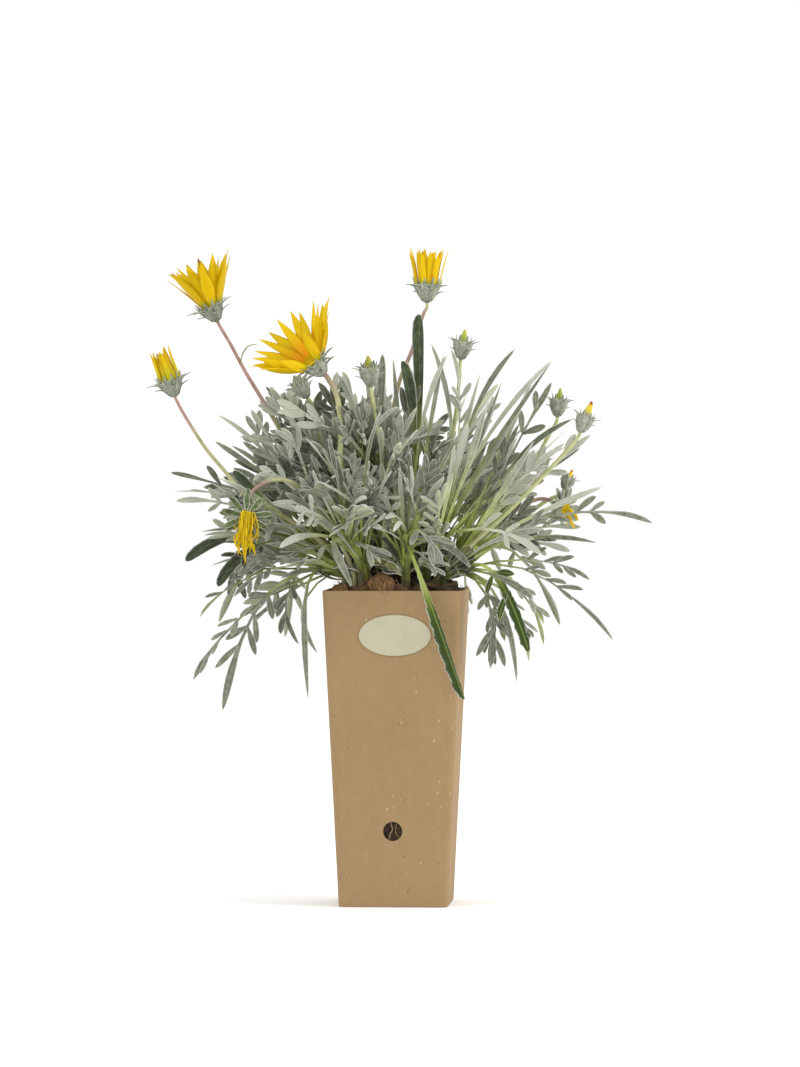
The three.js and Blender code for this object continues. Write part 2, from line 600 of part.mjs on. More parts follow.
// Blades set round an axis, leaning out from it and then pulled further out or down.
function whorl({ base, axis, count, radius, height, length, width, spread, pull, profile, start, sag,
  step = 0, fold = 0 }) {
  const e1 = sideFor(V(0.2, 0.9, 0.38), axis);
  const e2 = axis.clone().cross(e1);
  const random = makeRandom(Math.round(1000 * length + 10 * count + start));
  return Array.from({ length: count }, (_, i) => {
    const a = ((i + start) / count) * 2 * Math.PI + (random() - 0.5) * 0.05;
    const radial = e1.clone().multiplyScalar(Math.cos(a)).addScaledVector(e2, Math.sin(a));
    const inner = i % 2;
    const lean = rad(spread * (0.95 + 0.1 * random()) - fold * inner);
    const heading = axis.clone().multiplyScalar(Math.cos(lean)).addScaledVector(radial, Math.sin(lean));
    const root = base.clone().addScaledVector(axis, height).addScaledVector(radial, radius - step * inner);
    const drag = radial.clone().multiplyScalar(pull).addScaledVector(UP, -sag * (0.7 + 0.6 * random()));
    const reach = length * (0.9 + 0.16 * random());
    const points = sweep(root, heading, reach, drag, 6);
    return blade({ points, side: axis.clone().cross(radial), roll: 0, width, profile });
  });
}

const cupHeight = (head) => (CUP.height * head.cup) / CUP.radius;

// The cup under the petals, with two rows of bracts that stand out from it.
function cupSolid(head) {
  const base = V(...head.base);
  const axis = V(...head.axis).normalize();
  const r = head.cup;
  const h = cupHeight(head);
  const cup = turned(base, axis, [[0, 1.5], [0.12 * h, 0.45 * r], [0.55 * h, 0.85 * r], [h, r]]);
  const outer = whorl({ base, axis, count: 6, radius: 0.66 * r, height: 0.35 * h, length: 1.1 * r + 2,
    width: 1.2, spread: head.bractSpread, pull: 0.6, profile: BRACT_PROFILE, start: 0, sag: 0 });
  const inner = whorl({ base, axis, count: 6, radius: 0.84 * r, height: 0.62 * h, length: 1.0 * r + 2.5,
    width: 1.3, spread: head.bractSpread - 8, pull: 0.3, profile: BRACT_PROFILE, start: 0.5, sag: 0 });
  return fuse([cup, ...outer, ...inner]);
}

// The petals, set alternately in an outer and an inner ring on the flower's disc.
function raysSolid(head) {
  const base = V(...head.base);
  const axis = V(...head.axis).normalize();
  const r = 0.84 * head.cup;
  const from = cupHeight(head) + SEAT;
  const disc = turned(base, axis, [[from, r], [from + 1.2, r], [from + 1.2, 0.45 * r], [from + 3, 0.3 * r]]);
  const rays = whorl({ base, axis, count: head.rays, radius: 0.76 * r, height: from + 0.5,
    length: head.ray, width: head.width, spread: head.spread, pull: head.wilted ? -0.2 : 0.12,
    profile: RAY_PROFILE, start: 0.25, sag: head.wilted ? 0.9 : 0, step: head.wilted ? 0 : 1.3,
    fold: head.wilted ? 0 : 3 });
  return fuse([disc, ...rays]);
}

function budSolid(head) {
  const base = V(...head.base);
  const axis = V(...head.axis).normalize();
  const k = head.bud;
  const body = turned(base, axis, BUD.map(([h, r]) => [h * k, r * k]), 6);
  const bracts = whorl({ base, axis, count: 5, radius: 5.2 * k, height: 6.5 * k, length: 8.5 * k,
    width: 1.1 * k, spread: 38, pull: 0.75, profile: BRACT_PROFILE, start: 0, sag: 0 });
  return fuse([body, ...bracts]);
}

// ---------------------------------------------------------------- pot, label and soil

// A ring round the pot at a height, drawn in from its outer face by an inset.
function potRing(z, inset) {
  const half = potHalf(z) - inset;
  const corner = Math.max(POT.corner - inset, 1);
  const ring = [];
  for (let quarter = 0; quarter < 4; quarter++) {
    for (let k = 0; k <= POT.cornerSteps; k++) {
      const a = ((quarter + k / POT.cornerSteps) * Math.PI) / 2;
      const cx = (half - corner) * (quarter === 0 || quarter === 3 ? 1 : -1);
      const cy = (half - corner) * (quarter < 2 ? 1 : -1);
      ring.push(V(cx + corner * Math.cos(a), cy + corner * Math.sin(a), z));
    }
  }
  return ring;
}

function potSolid() {
  const outer = loft([potRing(0, 0), potRing(POT.height, 0)]);
  const inner = loft([potRing(POT.floor, POT.wall), potRing(POT.height + 5, POT.wall)]);
  const bore = new THREE.CylinderGeometry(HOLE.radius, HOLE.radius, 12, HOLE.sides);
  bore.translate(0, -potHalf(HOLE.z), HOLE.z);
  return outer.subtract(inner).subtract(solidOfGeometry(bore));
}

function labelMesh(material) {
  const outline = new THREE.Shape();
  outline.absellipse(0, 0, LABEL.width / 2, LABEL.height / 2, 0, 2 * Math.PI);
  const depth = LABEL.thickness;
  const options = { depth, bevelEnabled: false, curveSegments: LABEL.sides };
  const mesh = new THREE.Mesh(new THREE.ExtrudeGeometry(outline, options), material);
  const slope = Math.atan((POT.top - POT.base) / 2 / POT.height);
  mesh.rotation.x = Math.PI / 2 + slope;
  mesh.position.set(LABEL.x, -potHalf(LABEL.z) - SEAT, LABEL.z);
  return mesh;
}

// The soil's own relief: a low mound with swells.
const soilLift = (x, y) => SOIL.mound * Math.max(0, 1 - (x * x + y * y) / 1500)
  + SOIL.swell * (Math.sin(0.13 * x + 1.1) * Math.cos(0.11 * y) + 0.6 * Math.sin(0.31 * x - 0.27 * y));

// A block under the relief, wider than the pot, to be cut to the pot's inside.
function reliefBlock() {
  const n = SOIL.grid;
  const half = potHalf(SOIL.top) + 4;
  const vertices = [];
  const triangles = [];
  const at = (i, j) => i * (n + 1) + j;
  for (let i = 0; i <= n; i++) {
    for (let j = 0; j <= n; j++) {
      const x = -half + (2 * half * i) / n;
      const y = -half + (2 * half * j) / n;
      vertices.push(V(x, y, SOIL.top + soilLift(x, y)));
      if (i === n || j === n) continue;
      triangles.push(at(i, j), at(i + 1, j), at(i + 1, j + 1), at(i, j), at(i + 1, j + 1), at(i, j + 1));
    }
  }
  const rim = [];
  for (let k = 0; k < n; k++) rim.push(at(k, 0));
  for (let k = 0; k < n; k++) rim.push(at(n, k));
  for (let k = n; k > 0; k--) rim.push(at(k, n));
  for (let k = n; k > 0; k--) rim.push(at(0, k));
  const low = vertices.length;
  for (const v of rim) vertices.push(V(vertices[v].x, vertices[v].y, 0));
  const centre = vertices.length;
  vertices.push(V(0, 0, 0));
  rim.forEach((v, k) => {
    const next = (k + 1) % rim.length;
    triangles.push(v, low + k, low + next, v, low + next, rim[next], low + k, centre, low + next);
  });
  return solidFrom(vertices, triangles);
}

function huskSolid([x, y, radius, height]) {
  const lump = new THREE.IcosahedronGeometry(radius, 1);
  lump.scale(1, 0.7, height / radius);
  lump.translate(x, y, SOIL.top + 2);
  return solidOfGeometry(lump);
}

function rootSolid(x) {
  const face = (z) => V(x, -potHalf(z) + POT.wall + SOIL.wallGap, z);
  return tube([face(HOLE.z - ROOTS.reach), face(HOLE.z), face(HOLE.z + ROOTS.reach)], () => ROOTS.radius);
}

// The plain upright hole that a stem stands in, clear of it all round.
function stemHole({ foot, radius }) {
  const low = foot.clone().applyAxisAngle(UP, rad(PLANT_TURN)).addScaledVector(UP, -SEAT);
  const wide = (radius + SEAT) / Math.cos(Math.PI / TUBE_SIDES);
  return tube([low, V(low.x, low.y, POT.height + 15)], () => wide);
}

function soilSolid(feet) {
  const gap = POT.wall + SOIL.wallGap;
  const inside = loft([potRing(POT.floor + SEAT, gap), potRing(POT.height + 20, gap)]);
  const body = wasm.Manifold.union([reliefBlock(), ...HUSKS.map(huskSolid)]).intersect(inside);
  const rooted = fuse([body, ...ROOTS.x.map(rootSolid)]);
  return rooted.subtract(wasm.Manifold.union(feet.map(stemHole)));
}

// ---------------------------------------------------------------- the part

const finish = (color, roughness) => new THREE.MeshStandardMaterial({ color, roughness, metalness: 0 });
const MATERIALS = {
  kraft: finish(0xb09468, 0.9),
  label: finish(0xd3cdaa, 0.7),
  soil: finish(0x3c2f25, 1),
  leaf: finish(0x9aa391, 0.85),
  stalk: finish(0xa98f78, 0.7),
  cup: finish(0x8c9a80, 0.85),
  ray: finish(0xf2c80f, 0.55),
};

function addNode(group, name, solid, material) {
  const mesh = new THREE.Mesh(geometryOf(solid), material);
  mesh.name = name;
  group.add(mesh);
}

growPlant();
const part = new THREE.Group();
const plant = new THREE.Group();
plant.rotation.z = rad(PLANT_TURN);
part.add(plant);

addNode(part, "pot", potSolid(), MATERIALS.kraft);
const label = labelMesh(MATERIALS.label);
label.name = "label";
part.add(label);

const feet = [
  ...SHOOTS.map((shoot) => ({ foot: shoot.stem[0], radius: STEM.foot })),
  ...HEADS.map((head) => ({ foot: head.run[0], radius: STALK.foot })),
];
addNode(part, "soil", soilSolid(feet), MATERIALS.soil);

for (const shoot of SHOOTS) addNode(plant, `shoot_${shoot.name}`, shootSolid(shoot), MATERIALS.leaf);
for (const head of HEADS) {
  addNode(plant, `${head.name}_stalk`, tube(head.run, stalkRadius), MATERIALS.stalk);
  if (head.bud) {
    addNode(plant, head.name, budSolid(head), MATERIALS.cup);
    continue;
  }
  addNode(plant, `${head.name}_cup`, cupSolid(head), MATERIALS.cup);
  addNode(plant, `${head.name}_rays`, raysSolid(head), MATERIALS.ray);
}

export default part;
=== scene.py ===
# The looks of the potted gazania: fine leaves, flowers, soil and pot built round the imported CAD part.
# Sizes are in millimetres until a piece is made, and in metres from there on.

import math

import bpy
import numpy as np
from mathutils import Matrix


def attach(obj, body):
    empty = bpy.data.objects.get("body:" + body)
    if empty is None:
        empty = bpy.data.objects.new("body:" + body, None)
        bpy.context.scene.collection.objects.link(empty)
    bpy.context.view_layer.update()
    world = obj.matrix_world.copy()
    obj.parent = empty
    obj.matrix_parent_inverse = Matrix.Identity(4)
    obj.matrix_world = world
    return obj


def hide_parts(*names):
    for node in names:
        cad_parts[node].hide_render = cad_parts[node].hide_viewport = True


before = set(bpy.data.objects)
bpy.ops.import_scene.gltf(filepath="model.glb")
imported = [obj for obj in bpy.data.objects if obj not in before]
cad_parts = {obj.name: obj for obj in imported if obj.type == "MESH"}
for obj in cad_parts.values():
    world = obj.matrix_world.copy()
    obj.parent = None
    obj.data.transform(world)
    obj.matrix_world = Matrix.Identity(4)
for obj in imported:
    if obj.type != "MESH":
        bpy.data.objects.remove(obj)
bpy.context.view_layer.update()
MM = 0.001

# ---------------------------------------------------------------- camera, floor and light

VIEW = {"azimuth": 3.8, "elevation": 0.9, "distance": 3500, "aside": 2.0, "height": 213, "lens": 205.2}
ROOM_LIGHT = 1.1
# Name, place, aim and size in metres, power in watts and colour.
LIGHTS = [
    ("key", (2.7, -1.0, 2.0), (0, 0, 0.22), 1.2, 48, (1.0, 0.985, 0.96)),
    ("side", (3.0, 1.4, 0.5), (0, 0, 0.15), 1.4, 17, (1.0, 0.98, 0.94)),
    ("fill", (-1.9, -1.6, 1.4), (0, 0, 0.2), 1.6, 20, (0.97, 0.985, 1.0)),
]
FLOOR_TONE = (0.93, 0.93, 0.925)
FLOOR_REACH = 40.0  # metres from the middle to each side


def make_camera():
    a = math.radians(VIEW["azimuth"])
    e = math.radians(VIEW["elevation"])
    target = np.array([VIEW["aside"] * math.cos(a), VIEW["aside"] * math.sin(a), VIEW["height"]])
    back = np.array([math.sin(a) * math.cos(e), -math.cos(a) * math.cos(e), math.sin(e)])
    camera = bpy.data.objects.new("camera", bpy.data.cameras.new("camera"))
    bpy.context.scene.collection.objects.link(camera)
    camera.data.lens = VIEW["lens"]
    camera.data.sensor_width = 36
    camera.data.clip_start = 0.1
    camera.data.clip_end = 60
    camera.location = (target + back * VIEW["distance"]) * MM
    camera.rotation_euler = (math.pi / 2 - e, 0, a)
    bpy.context.scene.camera = camera


def make_light(name, place, aim, size, power, colour):
    light = bpy.data.objects.new(name, bpy.data.lights.new(name, "AREA"))
    bpy.context.scene.collection.objects.link(light)
    light.data.size = size
    light.data.energy = power
    light.data.color = colour
    light.location = place
    direction = np.array(aim, float) - np.array(place, float)
    flat = math.hypot(direction[0], direction[1])
    turn = math.atan2(direction[1], direction[0]) - math.pi / 2
    light.rotation_euler = (math.atan2(flat, -direction[2]), 0, turn)


def make_stage():
    scene = bpy.context.scene
    scene.view_settings.view_transform = "Standard"
    scene.view_settings.look = "None"
    world = bpy.data.worlds.new("soft_room")
    world.use_nodes = True
    for socket, value in zip(world.node_tree.nodes["Background"].inputs, ((1, 1, 1, 1), ROOM_LIGHT)):
        socket.default_value = value
    scene.world = world
    for row in LIGHTS:
        make_light(*row)
    mesh = bpy.data.meshes.new("floor")
    corners = [(-1, -1), (1, -1), (1, 1), (-1, 1)]
    mesh.from_pydata([(x * FLOOR_REACH, y * FLOOR_REACH, 0) for x, y in corners], [], [(0, 1, 2, 3)])
    floor = bpy.data.objects.new("floor", mesh)
    scene.collection.objects.link(floor)
    mat = Nodes("pale_floor")
    mat.surface((*FLOOR_TONE, 1), 0.9)
    floor.data.materials.append(mat.material)


# ---------------------------------------------------------------- materials


class Nodes:
    """Short ways to lay out the nodes of one material."""

    def __init__(self, name):
        self.material = bpy.data.materials.new(name)
        self.material.use_nodes = True
        self.tree = self.material.node_tree
        self.tree.nodes.clear()
        out = self.add("ShaderNodeOutputMaterial")
        self.shader = self.add("ShaderNodeBsdfPrincipled")
        self.put(out.inputs[0], self.shader.outputs[0])
        self.place = self.add("ShaderNodeTexCoord").outputs["Object"]

    def add(self, kind, sockets=(), **values):
        """A node with its properties set, and numbers or other nodes' results put into its sockets."""
        node = self.tree.nodes.new(kind)
        for key, value in values.items():
            setattr(node, key, value)
        for key, value in dict(sockets).items():
            self.put(node.inputs[key], value)
        return node

    def put(self, socket, value):
        if isinstance(value, bpy.types.NodeSocket):
            self.tree.links.new(value, socket)
        else:
            socket.default_value = value

    def paint(self, name):
        """The four numbers painted on the vertices under a name."""
        node = self.add("ShaderNodeAttribute", attribute_name=name)
        split = self.add("ShaderNodeSeparateColor", {0: node.outputs["Color"]})
        return [*split.outputs[:3], node.outputs["Alpha"]]

    def stretched(self, at, stretch):
        at = at or self.place
        return self.add("ShaderNodeMapping", {"Vector": at, "Scale": stretch}).outputs[0] if stretch else at

    def noise(self, scale, detail=2.0, roughness=0.5, at=None, stretch=None):
        at = self.stretched(at, stretch)
        sockets = {"Scale": scale, "Detail": detail, "Roughness": roughness, "Vector": at}
        return self.add("ShaderNodeTexNoise", sockets).outputs["Fac"]

    def cells(self, scale, stretch):
        sockets = {"Scale": scale, "Randomness": 1.0, "Vector": self.stretched(None, stretch)}
        return self.add("ShaderNodeTexVoronoi", sockets).outputs["Distance"]

    def vector(self, *parts):
        return self.add("ShaderNodeCombineXYZ", dict(enumerate(parts))).outputs[0]

    def math(self, operation, a, b):
        return self.add("ShaderNodeMath", {0: a, 1: b}, operation=operation).outputs[0]

    def times(self, a, b):
        return self.math("MULTIPLY", a, b)

    def step(self, value, low, high, start=0.0, end=1.0):
        """A smooth rise from start to end while value goes from low to high."""
        sockets = {"Value": value, "From Min": low, "From Max": high, "To Min": start, "To Max": end}
        return self.add("ShaderNodeMapRange", sockets, interpolation_type="SMOOTHSTEP").outputs[0]

    def mix(self, share, a, b, blend="MIX"):
        a, b = (v if isinstance(v, bpy.types.NodeSocket) else (*v, 1) for v in (a, b))
        sockets = {0: share, 6: a, 7: b}
        return self.add("ShaderNodeMix", sockets, data_type="RGBA", blend_type=blend).outputs[2]

    def fade(self, value, low, high, a, b):
        """Colour a, which turns into b while value goes from low to high."""
        return self.mix(self.step(value, low, high), a, b)

    def dim(self, colour, *parts):
        """A colour times one number, or its three parts times one each."""
        return self.mix(1.0, colour, self.vector(*(parts if len(parts) == 3 else parts * 3)), "MULTIPLY")

    def surface(self, colour, roughness, specular=0.5, sheen=0.0, sheen_roughness=0.5, tint=(1, 1, 1)):
        values = {"Base Color": colour, "Roughness": roughness, "Specular IOR Level": specular,
                  "Sheen Weight": sheen, "Sheen Roughness": sheen_roughness, "Sheen Tint": (*tint, 1)}
        for name, value in values.items():
            self.put(self.shader.inputs[name], value)

    def bump(self, height, strength, distance):
        node = self.add("ShaderNodeBump", {"Strength": strength, "Distance": distance, "Height": height})
        self.put(self.shader.inputs["Normal"], node.outputs[0])


LEAF = {
    "shaded": (0.105, 0.120, 0.072), "lit": (0.27, 0.288, 0.207), "silver": (0.42, 0.435, 0.36),
    # under: the pale felted undersides, dimmed as painted shade of the side turned from the light.
    "under": (0.33, 0.35, 0.265), "margin": (0.62, 0.63, 0.55),
    "dark": (0.034, 0.049, 0.022), "dark_lit": (0.068, 0.090, 0.045),
    "olive": (0.100, 0.125, 0.016), "olive_deep": (0.030, 0.050, 0.010),
    "stalk": (0.26, 0.335, 0.048), "stalk_lit": (0.47, 0.54, 0.145), "stalk_downy": (0.54, 0.57, 0.36),
    # foot: the dark foot of the shoots and their old leaves, near-black partly as painted shade of the
    # crowded base.
    "foot": (0.018, 0.018, 0.006), "foot_lit": (0.105, 0.104, 0.014),
}
PETAL = {
    "yellow": (0.43, 0.275, 0.0006), "yellow_lit": (0.50, 0.35, 0.0010), "throat": (0.50, 0.185, 0.001),
    "back": (0.34, 0.33, 0.010), "vein": (0.50, 0.28, 0.001), "tip": (0.16, 0.075, 0.012),
    "dry": (0.27, 0.165, 0.0015), "dry_lit": (0.48, 0.36, 0.010),
}
DOWNY = {
    "green": (0.35, 0.38, 0.14), "green_lit": (0.46, 0.47, 0.22), "brown": (0.25, 0.24, 0.085),
    "brown_lit": (0.36, 0.34, 0.13), "rosy": (0.24, 0.118, 0.10), "rosy_lit": (0.37, 0.195, 0.165),
    "hair": (0.56, 0.55, 0.48),
}
FELTED = {
    "silver": (0.26, 0.28, 0.21), "silver_lit": (0.37, 0.385, 0.31), "groove": (0.07, 0.09, 0.045),
    "leafy": (0.052, 0.075, 0.024), "leafy_lit": (0.125, 0.16, 0.06), "margin": (0.52, 0.535, 0.46),
    "young": (0.36, 0.43, 0.07), "yellow": (0.68, 0.47, 0.02), "ripe": (0.64, 0.27, 0.01),
    "tip": (0.17, 0.05, 0.01),
}
BOARD = {
    "pulp": (0.274, 0.180, 0.085), "pulp_lit": (0.297, 0.199, 0.096), "cloud": (0.330, 0.225, 0.116),
    "dark_fleck": (0.13, 0.075, 0.035), "pale_fleck": (0.60, 0.47, 0.31),
}
PAPER = {"cream": (0.383, 0.358, 0.243), "cream_lit": (0.416, 0.386, 0.271), "fibre": (0.515, 0.485, 0.36)}
EARTH = {
    "soil": (0.016, 0.011, 0.008), "soil_lit": (0.075, 0.048, 0.030), "husk": (0.085, 0.043, 0.017),
    "husk_lit": (0.25, 0.138, 0.062), "root": (0.42, 0.33, 0.22),
}
RIM = {"outer": 0.15, "inner": 0.62}  # millimetres in from a leaf's edge over which its white felt fades
WIDEST = 5.0  # the half-width in millimetres that is painted as 1
FELT_TINT = (0.95, 0.95, 0.9)
SHINES_THROUGH = 0.5  # a petal's own light, which stands in for what comes through it


def leaf_material():
    """Felted leaf: paint = along, edge, upper face, luck; tone = dark leaf, green stalk, run, half-width."""
    mat = Nodes("leaf_silver")
    along, edge, face, luck = mat.paint("paint")
    dark, green, _, half = mat.paint("tone")
    felt = mat.noise(300)
    fuzz = mat.noise(2400, 2, 0.6)
    patch = mat.noise(90, 1)
    upper = mat.fade(felt, 0.2, 0.8, LEAF["shaded"], LEAF["lit"])
    upper = mat.mix(mat.step(luck, 0.15, 0.95, 0.0, 0.8), upper, LEAF["silver"])
    deep = mat.fade(felt, 0.35, 0.7, LEAF["dark"], LEAF["dark_lit"])
    # Luck near 0.93 gives the foot colour: partly dark old leaf bases, partly painted shade of the crowded
    # base.
    deep = mat.fade(luck, 0.89, 0.93, deep, mat.fade(patch, 0.4, 0.65, LEAF["foot"], LEAF["foot_lit"]))
    green_one = mat.step(luck, 0.93, 1.0)
    deep = mat.mix(green_one, deep, mat.fade(along, 0.42, 0.72, LEAF["olive"], LEAF["olive_deep"]))
    upper = mat.mix(dark, upper, deep)
    rib = mat.step(edge, 0.2, 0.03)
    ribbed = mat.times(mat.step(green_one, 0.0, 1.0, 0.2, 0.8), mat.step(dark, 0.4, 0.9, 1.0, 0.3))
    upper = mat.mix(mat.times(rib, ribbed), upper, mat.mix(green_one, LEAF["margin"], LEAF["stalk_lit"]))
    lower = mat.mix(mat.times(rib, 0.6), LEAF["under"], LEAF["stalk_lit"])
    lower = mat.mix(mat.times(dark, 0.8), lower, deep)
    colour = mat.mix(face, lower, upper)
    inward = mat.times(mat.math("SUBTRACT", 1.0, edge), mat.times(half, WIDEST))
    inward = mat.times(inward, mat.step(luck, 0.9, 0.95, 1.0, 1.15))
    rim = mat.times(mat.step(inward, RIM["inner"], RIM["outer"]), mat.step(fuzz, 0.3, 0.6, 0.5, 0.9))
    rim = mat.times(rim, mat.math("MAXIMUM", mat.step(felt, 0.35, 0.47), mat.step(luck, 0.95, 0.9)))
    colour = mat.mix(rim, colour, LEAF["margin"])
    young = mat.fade(patch, 0.3, 0.7, LEAF["stalk"], LEAF["stalk_lit"])
    downy = mat.times(mat.step(fuzz, 0.4, 0.75, 0.06, 0.28), mat.step(along, 0.05, 0.4))
    young = mat.mix(downy, young, LEAF["stalk_downy"])
    # Stalks darker and browner towards the root: partly their own browner bases, partly painted shade of the
    # crowded foot.
    root_brown_and_shade = mat.step(along, 0.0, 0.34, 0.33, 1.0)
    young = mat.dim(young, root_brown_and_shade, root_brown_and_shade, mat.step(along, 0.0, 0.4, 0.2, 1.0))
    colour = mat.mix(green, colour, young)
    shade = mat.math("ADD", mat.times(luck, 0.7), mat.times(patch, 0.4))
    colour = mat.dim(colour, mat.step(shade, 0.1, 1.0, 0.62, 1.26))
    mat.surface(colour, mat.step(felt, 0.2, 0.8, 0.78, 0.9), 0.2, 0.12, 0.45, FELT_TINT)
    mat.bump(mat.math("ADD", mat.times(fuzz, 0.4), felt), 0.2, 0.0003)
    return mat.material


def petal_material(name, young):
    """Ray florets: paint = along, edge, upper face, luck; tone = dark tip, wilting, length run."""
    mat = Nodes(name)
    along, edge, face, luck = mat.paint("paint")
    tip, wilt, run, _ = mat.paint("tone")
    own = mat.vector(mat.times(edge, 5.0), mat.times(run, 5.0), mat.times(luck, 40.0))
    streak = mat.noise(1.0, 1, 0.5, own)
    grain = mat.noise(500)
    yellow = mat.fade(streak, 0.3, 0.7, PETAL["yellow"], PETAL["yellow_lit"])
    throat = mat.fade(along, 0.6, 0.1, yellow, PETAL["throat"])
    back = mat.fade(along, lerp(0.25, 0.7, young), lerp(0.02, 0.1, young), yellow, PETAL["back"])
    back = mat.mix(mat.times(mat.step(edge, 0.3, 0.06), 0.3), back, PETAL["vein"])
    colour = mat.mix(face, back, throat)
    colour = mat.mix(wilt, colour, mat.fade(streak, 0.3, 0.7, PETAL["dry"], PETAL["dry_lit"]))
    stripe = mat.times(mat.step(edge, 0.34, 0.14), mat.step(along, 0.55, 0.75))
    ending = mat.math("MAXIMUM", stripe, mat.step(along, 0.86, 0.94))
    colour = mat.mix(mat.times(ending, tip), colour, PETAL["tip"])
    colour = mat.dim(colour, mat.step(luck, 0.0, 1.0, 0.84, 1.04))
    mat.surface(colour, mat.step(grain, 0.3, 0.7, 0.55, 0.68), 0.12)
    mat.put(mat.shader.inputs["Emission Color"], colour)
    mat.put(mat.shader.inputs["Emission Strength"], SHINES_THROUGH)
    mat.material.cycles.emission_sampling = "NONE"
    mat.bump(grain, 0.06, 0.00006)
    return mat.material


def stalk_material():
    """Flower stalks: tone = pink, olive."""
    mat = Nodes("stalk_downy")
    pink, olive, _, _ = mat.paint("tone")
    down = mat.noise(2200, 2, 0.6)
    patch = mat.noise(170)
    green = mat.fade(patch, 0.3, 0.7, DOWNY["green"], DOWNY["green_lit"])
    brown = mat.fade(patch, 0.3, 0.7, DOWNY["brown"], DOWNY["brown_lit"])
    rosy = mat.fade(patch, 0.25, 0.75, DOWNY["rosy"], DOWNY["rosy_lit"])
    colour = mat.mix(olive, green, brown)
    colour = mat.fade(mat.math("ADD", pink, mat.times(patch, 0.3)), 0.25, 0.95, colour, rosy)
    colour = mat.mix(mat.step(down, 0.35, 0.75, 0.04, 0.28), colour, DOWNY["hair"])
    mat.surface(colour, 0.7, 0.3, 0.15, tint=(0.95, 0.93, 0.9))
    mat.bump(down, 0.2, 0.0003)
    return mat.material


def cup_material():
    """Cups and buds: paint = along, edge, outside, luck; tone = green, petal tip, orange tip, ribbed."""
    mat = Nodes("cup_felted")
    along, edge, _, luck = mat.paint("paint")
    green, tip, orange, ribbed = mat.paint("tone")
    felt = mat.noise(500)
    fuzz = mat.noise(3000, 2, 0.6)
    silver = mat.fade(felt, 0.3, 0.7, FELTED["silver"], FELTED["silver_lit"])
    groove = mat.times(mat.step(ribbed, 0.9, 0.97), mat.step(edge, 0.62, 0.1))
    silver = mat.mix(mat.times(groove, 0.8), silver, FELTED["groove"])
    leafy = mat.fade(felt, 0.35, 0.65, FELTED["leafy"], FELTED["leafy_lit"])
    colour = mat.mix(mat.times(green, mat.step(edge, 0.95, 0.5)), silver, leafy)
    rim = mat.times(mat.step(edge, 0.7, 0.95), mat.step(fuzz, 0.3, 0.6, 0.4, 0.9))
    rim = mat.times(rim, mat.step(ribbed, 0.97, 0.9))
    colour = mat.mix(mat.times(rim, 0.7), colour, FELTED["margin"])
    yellow = mat.mix(orange, FELTED["young"], FELTED["yellow"])
    ripe = mat.mix(mat.times(mat.step(orange, 0.0, 0.4), mat.step(along, 0.8, 0.95)), yellow, FELTED["ripe"])
    brown = mat.times(mat.step(orange, 0.3, 0.55), mat.step(along, 0.87, 0.96))
    colour = mat.mix(tip, colour, mat.mix(brown, ripe, FELTED["tip"]))
    shade = mat.step(mat.math("ADD", luck, mat.times(felt, 0.4)), -0.3, 1.2, 0.6, 1.1)
    colour = mat.dim(colour, shade)
    mat.surface(colour, mat.step(felt, 0.3, 0.7, 0.75, 0.86), 0.25, 0.12, tint=FELT_TINT)
    mat.bump(mat.math("ADD", mat.times(fuzz, 0.4), felt), 0.12, 0.0003)
    return mat.material


def kraft_material():
    mat = Nodes("kraft_board")
    pulp = mat.noise(260, 4, 0.65, stretch=(1.0, 1.0, 0.45))
    fine = mat.noise(1500, 3, 0.7)
    board = mat.fade(pulp, 0.3, 0.7, BOARD["pulp"], BOARD["pulp_lit"])
    board = mat.mix(mat.step(mat.noise(14), 0.3, 0.7, 0.0, 0.35), board, BOARD["cloud"])
    dark = mat.step(mat.cells(330, (1.0, 1.0, 0.6)), 0.16, 0.07)
    dark = mat.times(dark, mat.step(mat.noise(90, 1), 0.5, 0.62))
    board = mat.mix(mat.times(dark, 0.75), board, BOARD["dark_fleck"])
    pale = mat.step(mat.cells(240, (1.0, 1.0, 0.5)), 0.15, 0.06)
    pale = mat.times(pale, mat.step(mat.noise(70, 1), 0.5, 0.66))
    board = mat.mix(mat.times(pale, 0.5), board, BOARD["pale_fleck"])
    mat.surface(board, mat.step(pulp, 0.2, 0.8, 0.78, 0.92), 0.3)
    mat.bump(mat.math("ADD", pulp, mat.times(fine, 0.4)), 0.15, 0.0003)
    return mat.material


def label_material():
    mat = Nodes("label_cream")
    fine = mat.noise(900, 3, 0.6)
    colour = mat.fade(mat.noise(40, 1), 0.3, 0.7, PAPER["cream"], PAPER["cream_lit"])
    colour = mat.mix(mat.step(fine, 0.3, 0.7, 0.0, 0.25), colour, PAPER["fibre"])
    mat.surface(colour, mat.step(fine, 0.3, 0.7, 0.5, 0.62))
    mat.bump(fine, 0.15, 0.0002)
    return mat.material


def soil_material():
    """Soil and coir: tone = how much is coir, how much is root."""
    mat = Nodes("soil_coir")
    coir, root, _, _ = mat.paint("tone")
    crumb = mat.noise(380, 4, 0.7)
    fibre = mat.noise(900, 3, 0.6, stretch=(1.0, 1.0, 0.2))
    earth = mat.fade(crumb, 0.35, 0.7, EARTH["soil"], EARTH["soil_lit"])
    colour = mat.mix(coir, earth, mat.fade(fibre, 0.3, 0.7, EARTH["husk"], EARTH["husk_lit"]))
    mat.surface(mat.mix(root, colour, EARTH["root"]), 0.92, 0.2)
    mat.bump(mat.math("ADD", crumb, fibre), 0.8, 0.0012)
    return mat.material


# ---------------------------------------------------------------- the plant's layout, as in the CAD part

